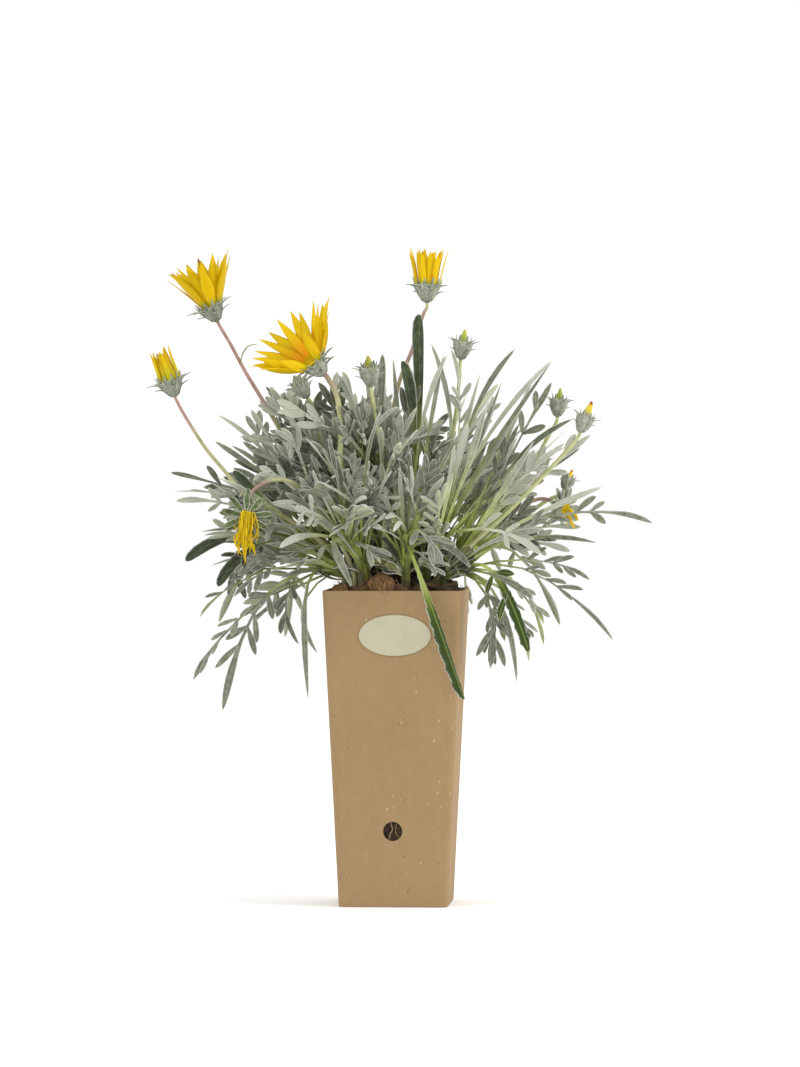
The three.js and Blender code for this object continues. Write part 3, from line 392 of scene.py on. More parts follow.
PLANT_TURN = math.radians(3.8)
POT = {"top": 80, "base": 62.6, "height": 181, "wall": 1.4, "floor": 2, "corner": 4}
HOLE = {"radius": 5.5, "z": 43.5}
LABEL = {"width": 41, "height": 23.4, "x": 1.6, "z": 155.6}
SOIL = {"top": 175, "gap": 0.7, "mound": 7, "swell": 2}
SEAT = 0.3  # the CAD part's gap between pieces that stand on each other
FOOT_DEPTH = 9  # how far below the soil's edge stems and stalks begin
STEPS = 12  # runs along a leaf
STEM = {"foot": 2.4, "crown": 1.8, "steps": 4}
STALK = {"foot": 1.5, "top": 1.1}
COLLAR = 13  # how far a stem rises straight out of the soil
CUP = {"height": 10.5, "radius": 7.4}
UP = np.array([0.0, 0.0, 1.0])

# shoot: foot, crown, own leaves, their length and spread
SHOOTS = {
    "left_low": ((-27, -15), (-43, -25, 194), 3, 62, 1.25),
    "left_mid": ((-29, -4), (-58, -14, 212), 4, 60, 1.0),
    "left_upper": ((-21, 6), (-62, 4, 238), 5, 56, 0.8),
    "left_front": ((-17, -25), (-34, -44, 216), 5, 48, 1.0),
    "top_left": ((-13, 2), (-44, -8, 256), 5, 48, 0.62),
    "top": ((-5, -9), (-14, -14, 258), 5, 50, 0.6),
    "centre_front": ((5, -26), (6, -38, 214), 4, 46, 1.0),
    "centre": ((7, 1), (12, -2, 240), 4, 58, 0.7),
    "right_upper": ((17, -7), (30, -14, 222), 3, 72, 0.75),
    "right": ((28, -2), (46, -8, 206), 3, 72, 0.85),
    "right_low": ((27, -17), (42, -26, 194), 3, 62, 1.15),
    "back_left": ((-26, 17), (-52, 36, 206), 4, 66, 1.05),
    "back": ((-3, 27), (-6, 52, 206), 4, 66, 1.05),
    "back_right": ((26, 17), (48, 38, 206), 4, 66, 1.05),
    "back_top_left": ((-11, 17), (-34, 28, 246), 5, 54, 0.75),
    "back_top_right": ((13, 18), (26, 30, 242), 5, 60, 0.75),
}

# By shoot: knee, tip, half-width, shape, whether the leaf is a dark green one, what it looks like if not
# its shape, and how far its fine blade's tip lies from the CAD part's.
PLACED = {
    "left_low": [
        ((-84, -34, 196), (-99, -38, 113), 3.0, "lobed", 0),
        ((-82, -50, 190), (-115, -56, 131), 2.6, "lobed", 0, "twig"),
        ((-58, -60, 200), (-50, -66, 121), 2.6, "plain", 0),
        ((-78, -14, 190), (-56, -20, 150), 2.4, "lobed", 0),
        ((-66, -36, 176), (-45, -50, 146), 2.0, "plain", 0),
    ],
    "left_mid": [
        ((-94, -34, 222), (-120, -38, 198), 3.4, "plain", 0.9, "paddle"),
        ((-84, -50, 214), (-101, -60, 184), 3.6, "lobed", 1, "paddle"),
        ((-92, 6, 216), (-97, 4, 177), 2.6, "lobed", 0),
        ((-90, -22, 236), (-126, -26, 232), 2.4, "lobed", 0),
    ],
    "left_upper": [
        ((-92, 4, 240), (-130, -2, 248), 2.6, "lobed", 0),
        ((-78, 0, 266), (-103, -4, 281), 2.4, "plain", 0),
        ((-76, 14, 262), (-87, 14, 281), 2.4, "lobed", 0),
        ((-80, -12, 250), (-104, -16, 266), 2.2, "plain", 0),
    ],
    "left_front": [
        ((-44, -58, 214), (-26, -62, 184), 3.6, "plain", 0, "paddle"),
        ((-52, -58, 218), (-66, -66, 206), 2.8, "plain", 0),
        ((-24, -60, 240), (-20, -62, 246), 3.0, "lobed", 0),
    ],
    "top_left": [
        ((-58, -4, 276), (-73, -2, 297), 2.6, "lobed", 0),
        ((-52, -14, 280), (-62, -18, 291), 2.4, "lobed", 0),
        ((-38, 0, 286), (-34, 2, 306), 2.4, "lobed", 0),
    ],
    "top": [
        ((-9, -20, 290), (-8, -20, 316), 3.0, "plain", 0),
        ((-22, -12, 284), (-31, -10, 306), 2.4, "lobed", 0),
    ],
    "centre_front": [
        ((13, -46, 194), (38.5, -49, 120), 3.7, "strap", 1, "toothed"),
        ((12, -56, 226), (26, -64, 196), 3.0, "lobed", 0),
        ((-8, -54, 236), (-6, -58, 240), 2.8, "lobed", 0),
    ],
    "centre": [
        ((15, -6, 290), (13, -4, 339), 3.4, "strap", 1, "broad"),
        ((12, -14, 280), (3, -16, 312), 2.8, "strap", 1, "broad"),
        ((10, -20, 286), (29, -24, 316), 2.4, "plain", 0),
    ],
    "right_upper": [
        ((40, -14, 280), (20, -10, 322), 2.2, "plain", 0),
        ((38, -18, 288), (68, -22, 319), 2.3, "plain", 0.6),
        ((44, -8, 268), (90, -6, 313), 2.3, "plain", 0), ((44, 2, 284), (31, 2, 319), 2.0, "lobed", 0),
    ],
    "right": [
        ((66, 2, 262), (89, 4, 300), 2.8, "lobed", 0),
        ((60, -18, 262), (101, -26, 279), 2.3, "plain", 0.85),
        ((72, 12, 240), (112, 16, 270), 2.4, "lobed", 0),
        ((80, -14, 226), (118, -20, 240), 2.4, "plain", 0),
        ((98, -2, 238), (147, -6, 219), 2.6, "lobed", 0),
    ],
    "right_low": [
        ((58, -46, 206), (78, -54, 145), 3.0, "lobed", 1, "toothed", (-3, 0, 2)),
        ((78, -10, 208), (124, -14, 152), 2.6, "lobed", 0),
        ((84, -28, 206), (110, -34, 187), 2.2, "lobed", 0), ((64, -4, 190), (69, -8, 128), 2.2, "plain", 0),
        ((60, -34, 184), (54, -38, 138), 2.6, "lobed", 0),
    ],
    "back_left": [
        ((-84, 48, 216), (-104, 62, 160), 2.8, "lobed", 0),
        ((-58, 76, 216), (-66, 98, 150), 2.8, "lobed", 0),
    ],
    "back": [
        ((-14, 92, 222), (-20, 118, 166), 2.8, "lobed", 0),
        ((14, 84, 200), (22, 98, 138), 2.6, "plain", 0.6),
    ],
    "back_right": [
        ((74, 60, 216), (96, 78, 158), 2.8, "lobed", 0), ((50, 78, 226), (62, 112, 188), 2.6, "lobed", 0),
    ],
    "back_top_left": [
        ((-52, 52, 280), (-72, 70, 292), 2.6, "lobed", 0),
    ],
    "back_top_right": [
        ((42, 50, 282), (60, 66, 300), 2.6, "plain", 0),
    ],
}

# By flower head: the foot of its cup, the way it faces, how many rays it has, their length, half-width and
# spread in degrees, the cup's radius and how far its bracts open, or the size of a bud beside a full one,
# and its stalk from the cup down.
HEADS = {
    "bloom_upper_left": dict(
        base=(-103, 2, 335), axis=(-0.42, -0.12, 0.9), rays=13, ray=29, width=3.6, spread=29, cup=7.2,
        bracts=52,
        stalk=[(-95, 3, 321), (-87, 4, 306), (-78, 6, 291), (-68, 10, 274), (-52, 12, 244), (-32, 10, 208),
               (-20, 12, 186)]),
    "bloom_open": dict(
        base=(-41, -36, 304), axis=(-0.62, -0.36, 0.7), rays=15, ray=31, width=3.9, spread=47, cup=7.6,
        bracts=72,
        stalk=[(-34, -31, 292), (-32, -31, 276), (-32, -31, 256), (-30, -30, 232), (-24, -22, 204),
               (-20, -16, 186)]),
    "bloom_top": dict(
        base=(17.5, 10, 346), axis=(0.02, -0.04, 1), rays=12, ray=20, width=2.3, spread=15, cup=7.6,
        bracts=40,
        stalk=[(15, 10, 338), (9, 10, 319), (1, 10, 298), (-3, 10, 270), (-1, 9, 230), (0, 9, 186)]),
    "bloom_left": dict(
        base=(-126.5, -20, 291.5), axis=(-0.33, -0.05, 0.94), rays=10, ray=18, width=2.1, spread=5, cup=7.0,
        bracts=42,
        stalk=[(-120, -22, 279), (-109, -24, 262), (-98, -28, 249), (-86, -34, 236), (-62, -34, 222),
               (-40, -20, 206), (-30, -12, 190)]),
    "bloom_wilted": dict(
        base=(-84, -60, 232), axis=(-0.08, -0.5, -0.86), rays=9, ray=27, width=1.2, spread=24, cup=5.6,
        bracts=88, wilted=True,
        stalk=[(-79, -53, 240), (-70, -50, 244), (-58, -48, 242), (-44, -34, 226), (-30, -24, 204),
               (-24, -22, 188)]),
    "bloom_faded": dict(
        base=(90, 20, 231), axis=(0.72, 0.05, -0.35), rays=7, ray=15, width=1.1, spread=30, cup=4.6,
        bracts=76, wilted=True,
        stalk=[(80, 20, 232), (66, 19, 224), (50, 14, 209), (36, 10, 194), (27, 7, 184)]),
    "bud_front": dict(
        base=(-14.5, -32, 297), axis=(-0.1, -0.12, 1), bud=1.0,
        stalk=[(-12.5, -31, 284), (-9, -29, 262), (-7, -26, 236), (-7, -22, 208), (-6, -19, 186)]),
    "bud_upper_right": dict(
        base=(37, 4, 313), axis=(0.14, -0.1, 1), bud=0.95,
        stalk=[(36, 4, 300), (33, 5, 274), (26, 6, 240), (17, 7, 208), (13, 8, 186)]),
    "bud_right": dict(
        base=(92.5, 6, 280), axis=(0.12, 0, 1), bud=0.9,
        stalk=[(87, 7, 268), (76, 8, 248), (60, 8, 226), (40, 8, 202), (20, 6, 184)]),
    "bud_far_right": dict(
        base=(105, -14, 271), axis=(0.36, -0.1, 0.93), bud=0.9,
        stalk=[(97, -13, 260), (82, -14, 244), (62, -16, 224), (42, -14, 206), (24, -12, 187)]),
    "bud_low_right": dict(
        base=(97, 30, 238), axis=(0.4, 0.1, 0.9), bud=0.68,
        stalk=[(86, 29, 231), (72, 26, 220), (54, 21, 206), (34, 12, 191), (22, 10, 182)]),
    "bud_left": dict(
        base=(-51, -12, 291), axis=(-0.5, -0.3, 0.8), bud=0.9,
        stalk=[(-47, -11, 282), (-42, -16, 262), (-34, -17, 238), (-24, -13, 206), (-14, -14, 186)]),
}

# ---------------------------------------------------------------- vectors, runs and frames


def make_random(seed):
    """The CAD part's own seeded generator, so that the same plant grows here."""
    state = [seed & 0xFFFFFFFF]

    def draw():
        state[0] = (state[0] * 1664525 + 1013904223) & 0xFFFFFFFF
        return state[0] / 4294967296

    for _ in range(5):
        draw()
    return draw


def unit(v):
    return v / np.linalg.norm(v)


def lerp(a, b, t):
    return a + (b - a) * t


def pot_half(z):
    return lerp(POT["base"], POT["top"], z / POT["height"]) / 2


def side_for(axis, direction):
    side = np.cross(axis, direction)
    return np.array([1.0, 0.0, 0.0]) if side @ side < 1e-4 else unit(side)


def axes_round(axis):
    """Two directions square to an axis and to each other."""
    e1 = side_for(np.array([0.2, 0.9, 0.38]), axis)
    return e1, np.cross(axis, e1)


def toward(e1, e2, turn):
    return e1 * math.cos(turn) + e2 * math.sin(turn)


def on_line(points, share):
    """A place on a line, and which of its steps that is in."""
    f = share * (len(points) - 1)
    i = min(int(f), len(points) - 2)
    return lerp(points[i], points[i + 1], f - i), i


def sweep(root, direction, length, pull, steps=STEPS):
    points = [np.array(root, float)]
    heading = unit(np.array(direction, float))
    for _ in range(steps):
        heading = unit(heading + np.array(pull) / steps)
        points.append(points[-1] + heading * (length / steps))
    return np.array(points)


def bend(root, knee, tip, steps=STEPS):
    root, knee, tip = (np.array(place, float) for place in (root, knee, tip))
    t = np.linspace(0, 1, steps + 1)[:, None]
    return (1 - t) ** 2 * root + 2 * t * (1 - t) * knee + t * t * tip


def smooth_run(through, steps):
    """A Catmull-Rom run through every point."""
    through = np.array(through, float)
    last = len(through) - 1
    points = []
    for i in range(last):
        a, b, c, d = (through[min(max(j, 0), last)] for j in (i - 1, i, i + 1, i + 2))
        for k in range(steps):
            t = k / steps
            points.append(0.5 * (((-t + 2) * t - 1) * t * a + ((3 * t - 5) * t * t + 2) * b
                                 + ((-3 * t + 4) * t + 1) * t * c + (t - 1) * t * t * d))
    points.append(through[last])
    return np.array(points)


def frames_along(points, side, roll=0.0):
    """Tangents, sides and face normals down a run; the side turns by roll in all."""
    n = len(points)
    before = points[np.maximum(np.arange(n) - 1, 0)]
    after = points[np.minimum(np.arange(n) + 1, n - 1)]
    tangent = after - before
    tangent /= np.linalg.norm(tangent, axis=1, keepdims=True)
    across = side - tangent * (tangent @ side)[:, None]
    across /= np.linalg.norm(across, axis=1, keepdims=True)
    angle = (roll * np.arange(n) / (n - 1))[:, None]
    across = across * np.cos(angle) + np.cross(tangent, across) * np.sin(angle)
    return points, tangent, across, np.cross(tangent, across)


def place_on(frames, along, across, lift):
    """Places on a blade, for arrays of shares along it, offsets across it and lifts off its face."""
    points, _, sides, normals = frames
    along, across, lift = np.broadcast_arrays(np.atleast_1d(along).astype(float), across, lift)
    f = np.clip(along, 0, 1) * (len(points) - 1)
    i = np.minimum(f.astype(int), len(points) - 2)
    t = (f - i)[:, None]
    return (lerp(points[i], points[i + 1], t) + lerp(sides[i], sides[i + 1], t) * across[:, None]
            + lerp(normals[i], normals[i + 1], t) * lift[:, None])


# ---------------------------------------------------------------- growing the plant

# How wide the CAD part's leaves are: share along them, and half-width there beside the widest.
PROFILES = {
    "plain": [(0, 0.34), (0.4, 0.45), (0.74, 1), (0.92, 0.66), (1, 0)],
    "strap": [(0, 0.34), (0.3, 0.5), (0.66, 0.92), (0.94, 0.8), (1, 0)],
    "lobed": [(0, 0.34), (0.42, 0.36), (0.5, 0.36), (0.63, 0.38), (0.71, 0.4), (0.88, 0.95), (1, 0)],
}
LOBE_SPANS = [(0.42, 0.5), (0.63, 0.71)]
CLEAR = 0.45  # the least gap between different nodes
RIM_CLEAR = {"above": 1.5, "beside": 1.2}
TRIES = 70
GOLDEN = 2.399963  # the turn from one leaf to the next round a stem, in radians
grown = []  # the spheres of all that has grown so far


def ball_of(centres, radii):
    """The middle and the radius of a ball round some spheres."""
    middle = centres.mean(0)
    return middle, (np.linalg.norm(centres - middle, axis=1) + radii).max()


def keep(owner, centres, radii, outer):
    grown.append((owner, *ball_of(centres, radii), centres, radii, outer))


def near(centres, radii, spare=0.0):
    """What has grown near some spheres: owner, distances, sums of radii, and which of its own are outer."""
    middle, reach = ball_of(centres, radii)
    for other, centre, other_reach, points, sizes, outer in grown:
        if np.linalg.norm(middle - centre) <= reach + other_reach + spare:
            gap = np.linalg.norm(centres[:, None] - points[None], axis=2)
            yield other, gap, radii[:, None] + sizes[None], outer


def spheres_of(leaf):
    frames = frames_along(leaf["points"], leaf["side"], leaf["roll"])
    count = max(8, int(leaf["length"] / 3.6 + 0.5))
    share = np.arange(1, count + 1) / count
    profile = np.array(PROFILES.get(leaf["shape"], PROFILES["plain"]))
    radii = 1.0 + 0.75 * leaf["width"] * np.interp(share, profile[:, 0], profile[:, 1])
    centres = place_on(frames, share, 0.0, 0.0)
    outer = share > 0.45
    for lobe in leaf["lobes"]:
        reach = np.array([0.55, 1.0])
        along = lobe["at"] + reach * lobe["forward"] / leaf["length"]
        more = place_on(frames, along, lobe["hand"] * reach * lobe["out"], reach * lobe["lift"])
        centres = np.vstack([centres, more])
        radii = np.append(radii, [1.9, 1.9])
        outer = np.append(outer, [True, True])
    return centres, radii, outer


def clear_of_pot(centres, radii):
    c, s = math.cos(PLANT_TURN), math.sin(PLANT_TURN)
    x = np.abs(centres[:, 0] * c - centres[:, 1] * s)
    y = np.abs(centres[:, 0] * s + centres[:, 1] * c)
    low = centres[:, 2] < POT["height"] + RIM_CLEAR["above"] + radii
    wall = pot_half(centres[:, 2]) + RIM_CLEAR["beside"] + radii
    return not (low & (np.maximum(x, y) < wall)).any()


def is_clear(owner, centres, radii, outer):
    if not clear_of_pot(centres, radii):
        return False
    for other, gap, least, other_outer in near(centres, radii, CLEAR):
        if other == owner:
            hit = (gap < 0.6 * least) & outer[:, None] & other_outer[None]
        else:
            hit = gap < least + CLEAR
        if hit.any():
            return False
    return True


def lobes_for(leaf, random):
    lobes = []
    for start, end in LOBE_SPANS if leaf["shape"] == "lobed" else ():
        for hand in (-1, 1):
            if random() < 0.2:
                continue
            reach = (7.5 + 5 * random()) * min(leaf["width"] / 2.6, 1.1)
            lobes.append(dict(hand=hand, at=(start + end) / 2, forward=0.72 * reach, out=0.7 * reach,
                              lift=(0.1 + 0.25 * random()) * reach))
    return lobes


def side_facing_out(points, random):
    middle = points[STEPS // 2]
    outward = -1 if middle[1] < 12 else 1
    face = np.array([1.2 * (random() - 0.5), outward * (0.5 + 0.6 * random()), 0.15 + 0.6 * random()])
    return side_for(face, points[STEPS] - middle)


def stem_of(foot, crown):
    low = np.array([*foot, SOIL["top"] - FOOT_DEPTH], float)
    collar = np.array([*foot, SOIL["top"] + COLLAR], float)
    crown = np.array(crown, float)
    knee = lerp(collar, crown, 0.2)
    knee[2] = lerp(collar[2], crown[2], 0.65)
    return np.vstack([low, bend(collar, knee, crown, STEM["steps"])])


def on_stem(shoot, share):
    return on_line(shoot["stem"][1:], share)[0]


def settle(shoot, leaf, random):
    leaf["lobes"] = lobes_for(leaf, random)
    centres, radii, outer = spheres_of(leaf)
    if not is_clear(shoot["name"], centres, radii, outer):
        return False
    keep(shoot["name"], centres, radii, outer)
    shoot["blades"].append(leaf)
    return True


def place_leaf(shoot, row, random):
    knee, tip, width, shape, dark, *fine = row
    for attempt in range(TRIES):
        shift = (random() - 0.5) * 1.4 * attempt
        root = on_stem(shoot, 0.55 + 0.4 * random())
        knee_at = np.array([knee[0], knee[1] + 0.6 * shift, knee[2]])
        tip_at = np.array([tip[0], tip[1] + shift, tip[2]])
        points = bend(root, knee_at, tip_at)
        side = side_facing_out(points, random)
        length = (np.linalg.norm(root - knee_at) + np.linalg.norm(knee_at - tip_at)
                  + np.linalg.norm(root - tip_at)) / 2
        leaf = dict(points=points, length=length, side=side, roll=(random() - 0.5) * 0.9, width=width,
                    shape=shape, dark=dark, fine=fine[0] if fine else None,
                    nudge=fine[1] if len(fine) > 1 else None)
        if settle(shoot, leaf, random):
            return


def grow_leaf(shoot, index, random):
    rank = (index + 0.5) / shoot["leaves"]
    axis = unit(lerp(unit(on_stem(shoot, 1) - on_stem(shoot, 0.7)), UP, 0.45))
    e1 = side_for(UP, np.array([*shoot["crown"][:2], 0.0]))
    e2 = unit(np.cross(axis, e1))
    around = index * GOLDEN + shoot["foot"][0]
    for attempt in range(TRIES):
        wander = 0.12 + 0.016 * attempt
        turn = around + (random() - 0.5) * 6 * wander
        lean = shoot["open"] * lerp(1.15, 0.28, rank) + (random() - 0.5) * 2 * wander
        heading = toward(axis, toward(e1, e2, turn), lean)
        length = shoot["length"] * (0.82 + 0.36 * random()) * (1 - 0.004 * attempt)
        droop = lerp(0.95, 0.3, rank) * (0.6 + 0.8 * random())
        points = sweep(on_stem(shoot, lerp(0.45, 0.97, rank)), heading, length, (0, 0, -droop))
        side = side_facing_out(points, random)
        roll = (random() - 0.5) * 1.1
        width = 2.2 + 0.9 * random()
        shape = "lobed" if random() < 0.66 else "plain"
        leaf = dict(points=points, length=length, side=side, roll=roll, width=width, shape=shape, dark=0)
        if settle(shoot, leaf, random):
            return


def stalk_of(head):
    base = np.array(head["base"], float)
    axis = unit(np.array(head["axis"], float))
    last = head["stalk"][-1]
    return np.array([(last[0], last[1], SOIL["top"] - FOOT_DEPTH), *head["stalk"][::-1],
                     base - 3 * axis, base - SEAT * axis])


def spheres_of_head(head):
    axis = unit(np.array(head["axis"], float))
    base = np.array(head["base"], float)
    centres = list(smooth_run(head["run"], 5))
    radii = [STALK["foot"] + 0.2] * len(centres)
    r = 10 * head.get("bud", 1)
    for reach in (0.35, 1.1):
        centres.append(base + axis * r * reach)
        radii.append(r)
    if "bud" not in head:
        centres.append(base + axis * (6 + 0.7 * head["ray"]))
        radii.append(5 + 0.75 * head["ray"] * math.sin(math.radians(head["spread"])))
    return np.array(centres), np.array(radii), np.ones(len(radii), bool)


def grow_plant():
    random = make_random(20)
    for name, head in HEADS.items():
        head["run"] = stalk_of(head)
        keep(name, *spheres_of_head(head))
    shoots = {}
    for name, (foot, crown, leaves, length, spread) in SHOOTS.items():
        shoots[name] = dict(name=name, foot=foot, crown=crown, leaves=leaves, length=length, open=spread,
                            stem=stem_of(foot, crown), blades=[])
        line = smooth_run(shoots[name]["stem"], 2)
        keep(name, line, np.full(len(line), STEM["foot"] + 0.3), np.zeros(len(line), bool))
    for name, rows in PLACED.items():
        for row in rows:
            place_leaf(shoots[name], row, random)
    for i in range(max(s["leaves"] for s in shoots.values())):
        for shoot in shoots.values():
            if i < shoot["leaves"]:
                grow_leaf(shoot, i, random)
    return shoots


# ---------------------------------------------------------------- meshes


class Pile:
    """Points, faces and painted numbers gathered for one piece."""

    def __init__(self):
        self.points, self.faces, self.paint, self.tone = [], [], [], []
        self.count = 0

    def add(self, points, faces, paint, tone):
        n = len(points)
        self.points.append(points)
        self.faces.append(np.where(faces < 0, -1, faces + self.count))
        self.paint.append(np.broadcast_to(paint, (n, 4)))
        self.tone.append(np.broadcast_to(tone, (n, 4)))
        self.count += n


def make_piece(name, pile, material, nodes, turned=True):
    points = np.vstack(pile.points) * MM
    if turned:
        c, s = math.cos(PLANT_TURN), math.sin(PLANT_TURN)
        points = points @ np.array([[c, s, 0], [-s, c, 0], [0, 0, 1]])
    faces = np.vstack(pile.faces)
    sizes = np.where(faces[:, 3] < 0, 3, 4)
    corners = faces[faces >= 0]
    mesh = bpy.data.meshes.new(name)
    mesh.vertices.add(len(points))
    mesh.vertices.foreach_set("co", points.astype(np.float32).ravel())
    mesh.loops.add(len(corners))
    mesh.loops.foreach_set("vertex_index", corners.astype(np.int32))
    mesh.polygons.add(len(faces))
    mesh.polygons.foreach_set("loop_start", (np.cumsum(sizes) - sizes).astype(np.int32))
    mesh.update(calc_edges=True)
    mesh.validate()
    mesh.shade_smooth()
    for key, values in (("paint", pile.paint), ("tone", pile.tone)):
        layer = mesh.attributes.new(key, "FLOAT_COLOR", "POINT")
        layer.data.foreach_set("color", np.vstack(values).astype(np.float32).ravel())
    piece = bpy.data.objects.new(name, mesh)
    bpy.context.scene.collection.objects.link(piece)
    mesh.materials.append(material)
    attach(piece, "root")
    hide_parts(*nodes)
    return piece


def painted(*parts):
    """Four numbers for each point, from parts that broadcast to one shape."""
    return np.stack(np.broadcast_arrays(*parts), -1)


def loft(pile, rings, paint, tone=(0, 0, 0, 0)):
    """Rings of equally many points, skinned and closed by a fan at each end."""
    count, n, _ = rings.shape
    i = np.arange(n)
    j = (i + 1) % n
    ring = np.arange(count - 1)[:, None] * n
    a, b = (ring + i).ravel(), (ring + j).ravel()
    low = count * n
    last = low - n
    none = np.full(n, -1)
    start = np.stack([j, i, none + 1 + low, none], 1)
    end = np.stack([last + i, last + j, none + 2 + low, none], 1)
    flat = [np.vstack([v.reshape(-1, 4), v[0].mean(0), v[-1].mean(0)])
            for v in (np.broadcast_to(paint, (count, n, 4)), np.broadcast_to(tone, (count, n, 4)))]
    points = np.vstack([rings.reshape(-1, 3), rings[0].mean(0), rings[-1].mean(0)])
    pile.add(points, np.vstack([np.stack([a, b, b + n, a + n], 1), start, end]), *flat)


# Luck 0.93 gives the leafy stems the near-black foot colour of the leaf material, partly painted shade of the
# crowded base.
STEM_PAINT = (0.2, 0.5, 1, 0.93)  # along, edge, upper face and luck, as painted on stems and stalks
# The section of a blade: share across it, share of half its thickness, and 1 where it is the upper face.
ACROSS = np.array([-1, -0.6, 0, 0.6, 1, 0.6, 0, -0.6])
OVER = np.array([0, 0.8, 1, 0.8, 0, -0.8, -1, -0.8])
UPPER = np.array([0.5, 1, 1, 1, 0.5, 0, 0, 0])

# The outline of each blade: share along it, and half-width there beside its widest.
SHAPES = {
    "plain": [(0, .40), (.2, .36), (.4, .44), (.55, .64), (.66, .84), (.75, .95), (.84, .9), (.91, .7),
              (.96, .45), (1, .08)],
    "strap": [(0, .36), (.2, .3), (.36, .34), (.5, .54), (.64, .82), (.78, 1), (.88, .96), (.95, .74),
              (.985, .45), (1, .1)],
    "broad": [(0, .3), (.2, .26), (.36, .34), (.5, .58), (.64, .86), (.78, 1), (.88, .96), (.95, .78),
              (.985, .5), (1, .15)],
    "toothed": [(0, .3), (.2, .26), (.36, .32), (.5, .52), (.64, .8), (.78, 1), (.88, .98), (.95, .84),
                (.985, .6), (1, .25)],
    "lobed": [(0, .44), (.2, .36), (.42, .33), (.6, .34), (.72, .38), (.78, .54), (.84, .8), (.89, .88),
              (.94, .74), (.98, .42), (1, .08)],
    "stalked": [(0, .85), (.06, .6), (.16, .42), (.35, .36), (.6, .38), (.76, .42), (.82, .66), (.89, .95),
                (.94, .8), (.98, .42), (1, .08)],
    "pinnate": [(0, .7), (.1, .46), (.3, .38), (.6, .42), (.76, .46), (.82, .72), (.88, 1), (.93, .9),
                (.97, .55), (1, .1)],
    "reed": [(0, 1.25), (.05, 1.05), (.13, .76), (.27, .56), (.46, .52), (.6, .74), (.72, .96), (.82, .92),
             (.91, .64), (.97, .3), (1, .05)],
    "twig": [(0, .7), (.1, .45), (.5, .4), (.8, .4), (.86, .62), (.92, .95), (.96, .78), (1, .12)],
    "lobe": [(0, .46), (.2, .6), (.42, .88), (.62, 1), (.8, .9), (.93, .58), (1, .1)],
    "flare": [(0, .5), (.2, .78), (.42, 1), (.58, .88), (.72, .64), (.86, .34), (1, .03)],
    "petal": [(0, .55), (.14, .8), (.28, .96), (.42, 1), (.56, .93), (.7, .74), (.83, .46), (.92, .23),
              (1, .03)],
    "roll": [(0, .75), (.12, .92), (.3, 1), (.5, .97), (.66, .86), (.79, .64), (.9, .34), (1, .04)],
    "bract": [(0, 1), (.3, 1), (.55, .84), (.78, .52), (.93, .24), (1, .05)],
    "scale": [(0, .4), (.25, .66), (.55, .92), (.75, 1), (.88, .7), (.96, .3), (1, .06)],
    "ribbon": [(0, .6), (.2, .8), (.5, 1), (.75, .85), (.92, .5), (1, .1)],
    "leaflet": [(0, .55), (.2, .66), (.45, .9), (.65, 1), (.82, .82), (.93, .5), (1, .08)],
    "paddle": [(0, .36), (.25, .34), (.42, .42), (.56, .68), (.68, .92), (.79, 1), (.88, .96), (.95, .74),
               (.985, .45), (1, .12)],
    "lance": [(0, .6), (.22, .95), (.42, 1), (.66, .78), (.86, .42), (1, .06)],
}
# Share along a leaf and chance of a side lobe there, besides those that the CAD part has.
LOBES = {
    "lobed": [(0.565, 0.3), (0.79, 0.4)],
    "stalked": [(0.5, 0.4), (0.6, 0.7), (0.7, 0.85), (0.79, 0.6)],
    "pinnate": [(0.5, 0.3), (0.6, 0.55), (0.69, 0.75), (0.78, 0.6)],
    "twig": [(0.53, 0.15), (0.62, 0.3), (0.7, 0.5), (0.78, 0.7), (0.86, 0.6)],
}
SHORT = 0.66  # how long the leaflets of a hanging twig are beside those of other leaves
TEETH = {"count": 14, "depth": 0.08, "rows": 80, "from": 0.3}


def toothed(profile):
    """The outline of a blade with small waves along its outer part."""
    share = np.linspace(0, 1, TEETH["rows"])
    half = np.interp(share, profile[:, 0], profile[:, 1])
    wave = np.sin(share * TEETH["count"] * 2 * math.pi) + 0.6 * np.sin(share * TEETH["count"] * 11)
    return np.stack([share, half * (1 + TEETH["depth"] * wave * (share > TEETH["from"]))], 1)


def add_blade(pile, frames, shape, width, thickness, channel, tone, luck, base=0.0, length=1.0,
              ripple=0.0, teeth=False):
    """A thin blade with a rounded edge down a run; base is where on its leaf it starts, as a share."""
    profile = np.array(SHAPES[shape])
    if teeth:
        profile = toothed(profile)
    share = profile[:, 0]
    half = (profile[:, 1] * width)[:, None]
    thick = thickness / 2 * np.interp(share, [0, 0.85, 1], [1, 0.8, 0.3])[:, None]
    across = ACROSS[None] * half
    lift = OVER[None] * thick + channel * half * ACROSS[None] ** 2
    lift = lift + ripple * half * ACROSS[None] * np.sin(9 * share + 6 * luck)[:, None]
    count, n = across.shape
    along = np.repeat(share, n)
    points = place_on(frames, along, across.ravel(), lift.ravel()).reshape(count, n, 3)
    whole = base + (1 - base) * share[:, None]
    green = np.interp(whole, [0.4 * tone[1], tone[1] + 1e-6], [tone[2], 0])
    loft(pile, points[:, ::-1], painted(whole, np.abs(ACROSS), UPPER, luck)[:, ::-1],
         painted(tone[0], green, share[:, None] * length / 100, half / WIDEST))


